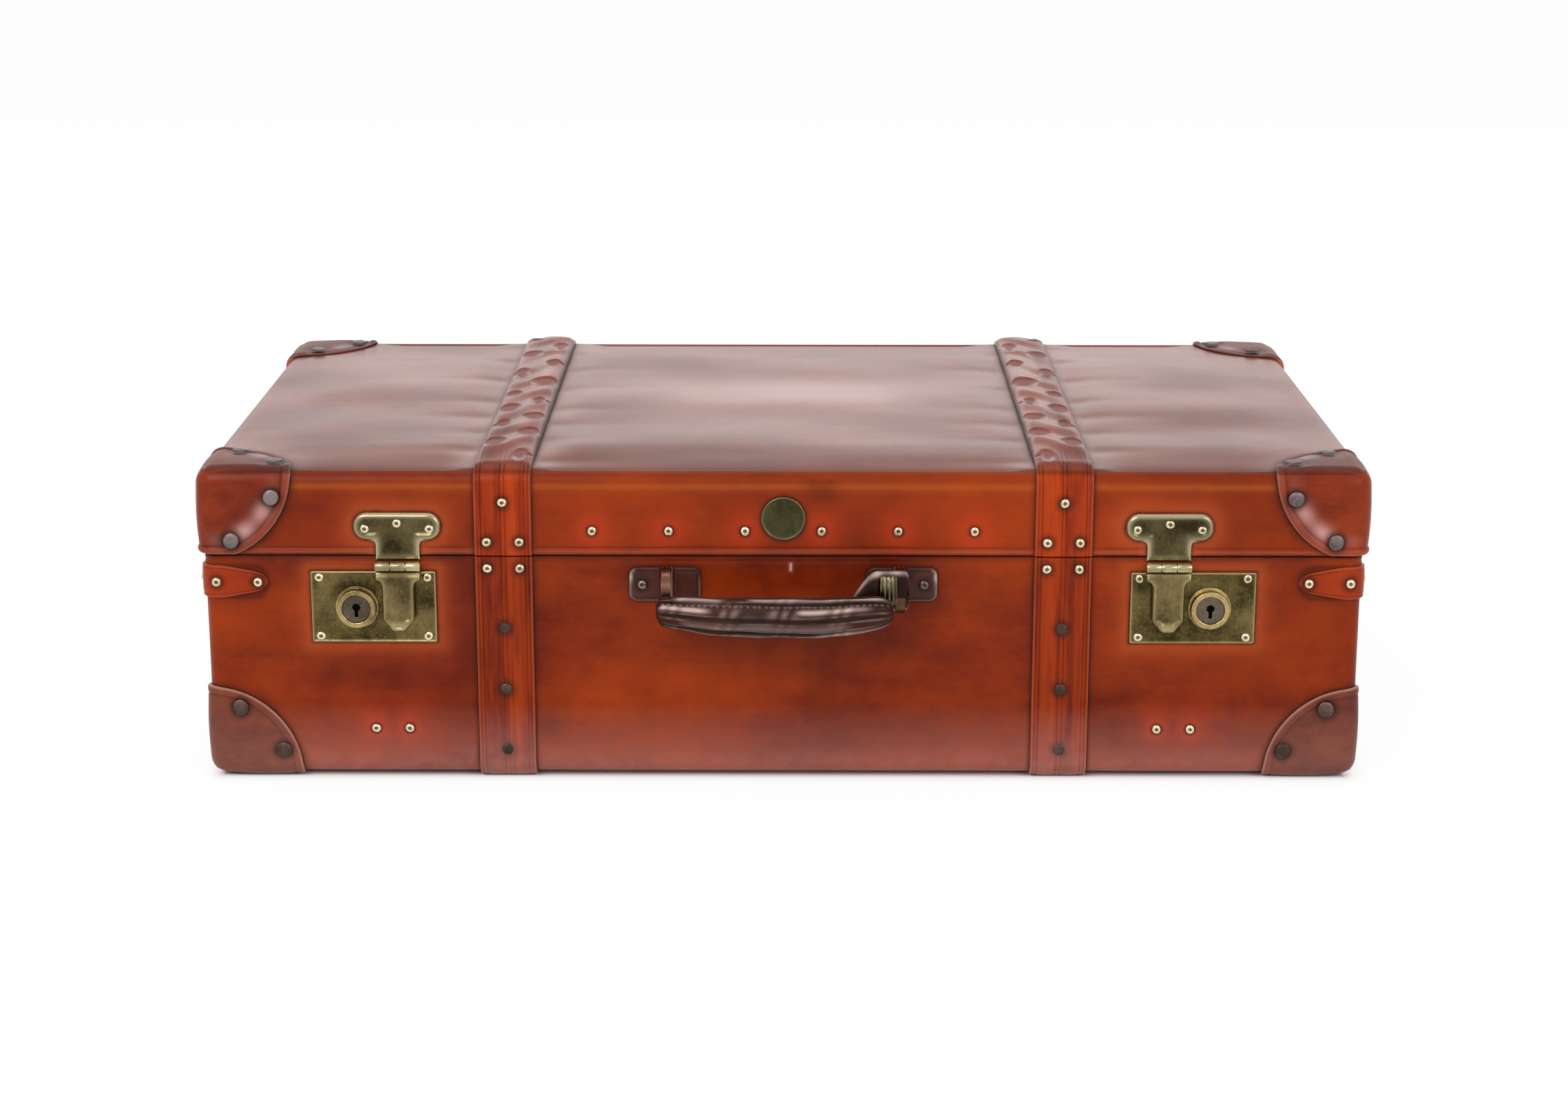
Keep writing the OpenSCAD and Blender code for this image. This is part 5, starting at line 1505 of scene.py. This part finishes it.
lining_cloth = cloth("lining_cloth", (0.50, 0.38, 0.22), (0.28, 0.19, 0.10))

# Brass and iron
# rim: bright worn borders on the pressed brass, partly a painted highlight along the raised edges
aged_brass = metal("aged_brass", (0.160, 0.125, 0.058), (0.050, 0.038, 0.016), 0.5,
                   marks={"rim": (0.75, (0.36, 0.30, 0.16))})
lock_brass = metal("lock_brass", (0.185, 0.138, 0.052), (0.036, 0.027, 0.009), 0.52,
                   marks={"rim": (0.9, (0.50, 0.38, 0.18))})
hasp_brass = metal("hasp_brass", (0.125, 0.095, 0.043), (0.032, 0.025, 0.010), 0.55, polish=0.18,
                   marks={"rim": (0.8, (0.60, 0.52, 0.32))})
# A lighter, less tarnished copy of the brass for the knuckles: worn bright, and a painted highlight for their
# bright lines
knuckle_brass = metal("knuckle_brass", (0.52, 0.44, 0.25), (0.20, 0.16, 0.08), 0.3, polish=0.16)
flap_brass = metal("flap_brass", (0.240, 0.182, 0.078), (0.076, 0.057, 0.022), 0.45, polish=0.18,
                   marks={"rim": (0.65, (0.42, 0.34, 0.17))})
badge_brass = metal("badge_brass", (0.082, 0.072, 0.030), (0.036, 0.034, 0.015), 0.5,
                    marks={"rim": (0.6, (0.20, 0.16, 0.08))})
collar_brass = metal("collar_brass", (0.50, 0.37, 0.16), (0.13, 0.09, 0.035), 0.45, polish=0.16)
clip_brass = metal("clip_brass", (0.30, 0.25, 0.13), (0.10, 0.08, 0.04), 0.4, polish=0.2,
                   marks={"groove": (0.8, (0.03, 0.022, 0.010))})
ring_brass = metal("ring_brass", (0.17, 0.085, 0.050), (0.055, 0.026, 0.016), 0.5, polish=0.25)
bright_brass = metal("bright_brass", (0.78, 0.66, 0.44), (0.40, 0.31, 0.17), 0.2, polish=0.14, marks=PIT)
# Near-black painted shade on the button's parts behind its front, in the keyhole
button_brass = metal("button_brass", (0.15, 0.12, 0.085), (0.055, 0.044, 0.032), 0.5,
                     marks={"deep": (1.0, (0.006, 0.005, 0.004))})
dark_iron = metal("dark_iron", (0.115, 0.072, 0.060), (0.050, 0.029, 0.023), 0.6, polish=0.34)
chape_iron = metal("chape_iron", (0.26, 0.19, 0.17), (0.07, 0.045, 0.038), 0.4, polish=0.2, marks=PIT)
dull_rivet = metal("dull_rivet", (0.15, 0.098, 0.082), (0.062, 0.039, 0.031), 0.5, polish=0.38)
grey_rivet = metal("grey_rivet", (0.24, 0.19, 0.19), (0.09, 0.065, 0.065), 0.45, polish=0.4,
                   marks={"foot": (0.7, (0.04, 0.02, 0.018))})

# Pieces: skins of base and lid
base_skin = box_skin("base_skin", base_low, base_high, True, 5 * MM, base_relief,
                     tooled_levels(base_high[2] - BASE_LINE))
dress(base_skin, "base", "case_leather", base_hide, "base_leather")
lid_skin = box_skin("lid_skin", lid_low, lid_high, False, 4 * MM, lid_relief,
                    tooled_levels(lid_low[2] + LID_LINE))
dress(lid_skin, "lid", "case_leather", lid_hide, "lid_leather")

# Leather trim
for side_name in SIDES:
    base_band(side_name)
    lid_band(side_name)
    for depth_name in DEPTHS:
        corner_cap("lid", side_name, depth_name, lid_low, lid_high, 1)
        corner_cap("base", side_name, depth_name, base_low, base_high, -1)
        corner_tab(side_name, depth_name)
    handle_end(side_name)
    handle_chape(side_name)
handle_grip()
handle_clip()

# Metal pieces
for side_name in SIDES:
    lock_plate(side_name)
    hasp_plate(side_name)
    hasp_flap(side_name)
    softened(f"lock_collar_{side_name}", "base", "bright_brass", collar_brass, 0.5 * MM, 3)
    softened(f"lock_button_{side_name}", f"button_{side_name}", "aged_brass", button_brass, 0.3 * MM)
    softened(f"handle_ring_{side_name}", "handle", "aged_brass", ring_brass, 0.5 * MM, 3)
badge_disc()
softened("hinge_base_leaves", "base", "aged_brass", aged_brass)
softened("hinge_lid_leaves", "lid", "aged_brass", aged_brass)
for node, body in (("lock_rivets", "base"), ("base_brass_rivets", "base"), ("lid_brass_rivets", "lid"),
                   ("hasp_rivets", "lid")):
    rivet_heads(node, body, "bright_brass", bright_brass, BRASS_HEAD)
rivet_heads("chape_rivets", "base", "iron", chape_iron, BRASS_HEAD)
rivet_heads("base_iron_rivets", "base", "iron", dark_iron, IRON_HEAD, squash=0.6)
rivet_heads("base_cap_rivets", "base", "grey_rivet", dull_rivet, IRON_HEAD, squash=0.5)
rivet_heads("lid_cap_rivets", "lid", "grey_rivet", grey_rivet, IRON_HEAD, squash=0.6)

# Finishes of the CAD solids that still show, by their slots
FINISHES = {
    "bright_brass": bright_brass, "aged_brass": aged_brass, "iron": dark_iron, "grey_rivet": grey_rivet,
    "case_leather": base_hide, "band_leather": lip_leather, "cap_leather": CAP_FINISH["base"],
    "handle_leather": handle_leather, "board": board_paper, "lining_cloth": lining_cloth,
}
for entry in frame["record"]["subparts"]:
    finish_in(frame["nodes"][entry["node"]], FINISHES[entry["material_slot"]])

# Floor, backdrop, light and camera

WHITE = (1, 1, 1)


def seen_rays(tree):
    """1 for rays from the camera, and for those sent on by gloss or glass."""
    rays = add_node(tree, "LightPath").outputs
    from_camera, glossy, through = [Wire(rays[f"Is {kind} Ray"])
                                    for kind in ("Camera", "Glossy", "Transmission")]
    return most(most(from_camera, glossy), through)


def studio_white(name, grey, strength, seen):
    """Matt surface that the camera and reflections see mostly as plain white, but for a patch under the
    case, which keeps its shadow."""
    material = bpy.data.materials.new(name)
    tree, end = blank_tree(material, "Material")
    x, y, _ = axes(tree)
    inset = 6 * MM
    under = soft_patch(x, y, 0.0, mid_y, base_high[0] - inset, mid_y - base_low[1] - inset, 5 * MM)
    share = seen_rays(tree) * seen * (1.0 - under)
    matt = add(tree, "BsdfDiffuse", Color=(grey,) * 3)
    glow = add(tree, "Emission", Color=WHITE, Strength=strength)
    feed(end, add(tree, "MixShader", i0=share, i1=matt, i2=glow))
    return material


def flat_sheet(name, size, material):
    """Floor: one level sheet round the object."""
    x, y = np.meshgrid([-size, size], [-size, size], indexing="ij")
    grid = np.stack([x, y, np.zeros_like(x)], -1)
    thing = mesh_from(name, grid.reshape(-1, 3), grid_faces(2, 2)[:, ::-1])
    thing.data.materials.append(material)
    return thing


flat_sheet("floor", 12.0, studio_white("floor_white", grey=0.95, strength=1.03, seen=0.9))

world = bpy.data.worlds.new("studio")
bpy.context.scene.world = world
world_tree, world_end = blank_tree(world, "World")
sky_strength = times_plus(seen_rays(world_tree), 0.45, 0.55)
feed(world_end, add(world_tree, "Background", Color=WHITE, Strength=sky_strength))


def soft_light(name, place_at, target, size, power):
    """A rectangular light that faces its target and isn't seen by the camera."""
    lamp = bpy.data.lights.new(name, "AREA")
    lamp.shape = "RECTANGLE"
    lamp.size, lamp.size_y = size
    lamp.energy = power
    thing = add_object(name, lamp)
    thing.location = place_at
    heading = np.array(target) - np.array(place_at)
    thing.rotation_euler = Vector(heading).to_track_quat("-Z", "Y").to_euler()
    thing.visible_camera = False
    return thing


soft_light("key", (-1.1, -1.9, 1.7), (0, 0, 0.1), (1.4, 1.0), 24)
soft_light("fill", (1.5, -1.7, 1.1), (0, 0, 0.1), (1.2, 1.0), 12)
soft_light("top", (0, 0.5, 2.2), (0, 0, 0.1), (2.0, 1.2), 12)
soft_light("strip", (0, mid_y + 3.0, 0.82), (0, 0, 0.2), (5.0, 0.5), 10)

# The camera that the photograph's corners and edges were fitted with
lens_px, photo_w = 4405.0, 2277
eye = (5.1 * MM, mid_y - 1963.4 * MM, 618.2 * MM)
pitch, yaw, roll = math.radians(15.186), math.radians(0.168), math.radians(-0.060)
camera_data = bpy.data.cameras.new("camera")
camera_data.sensor_width = 36
camera_data.lens = lens_px / photo_w * camera_data.sensor_width
camera = add_object("camera", camera_data)
camera.location = eye
camera.rotation_euler = (math.pi / 2 - pitch, roll, yaw)
bpy.context.scene.camera = camera
bpy.context.scene.view_settings.view_transform = "Standard"
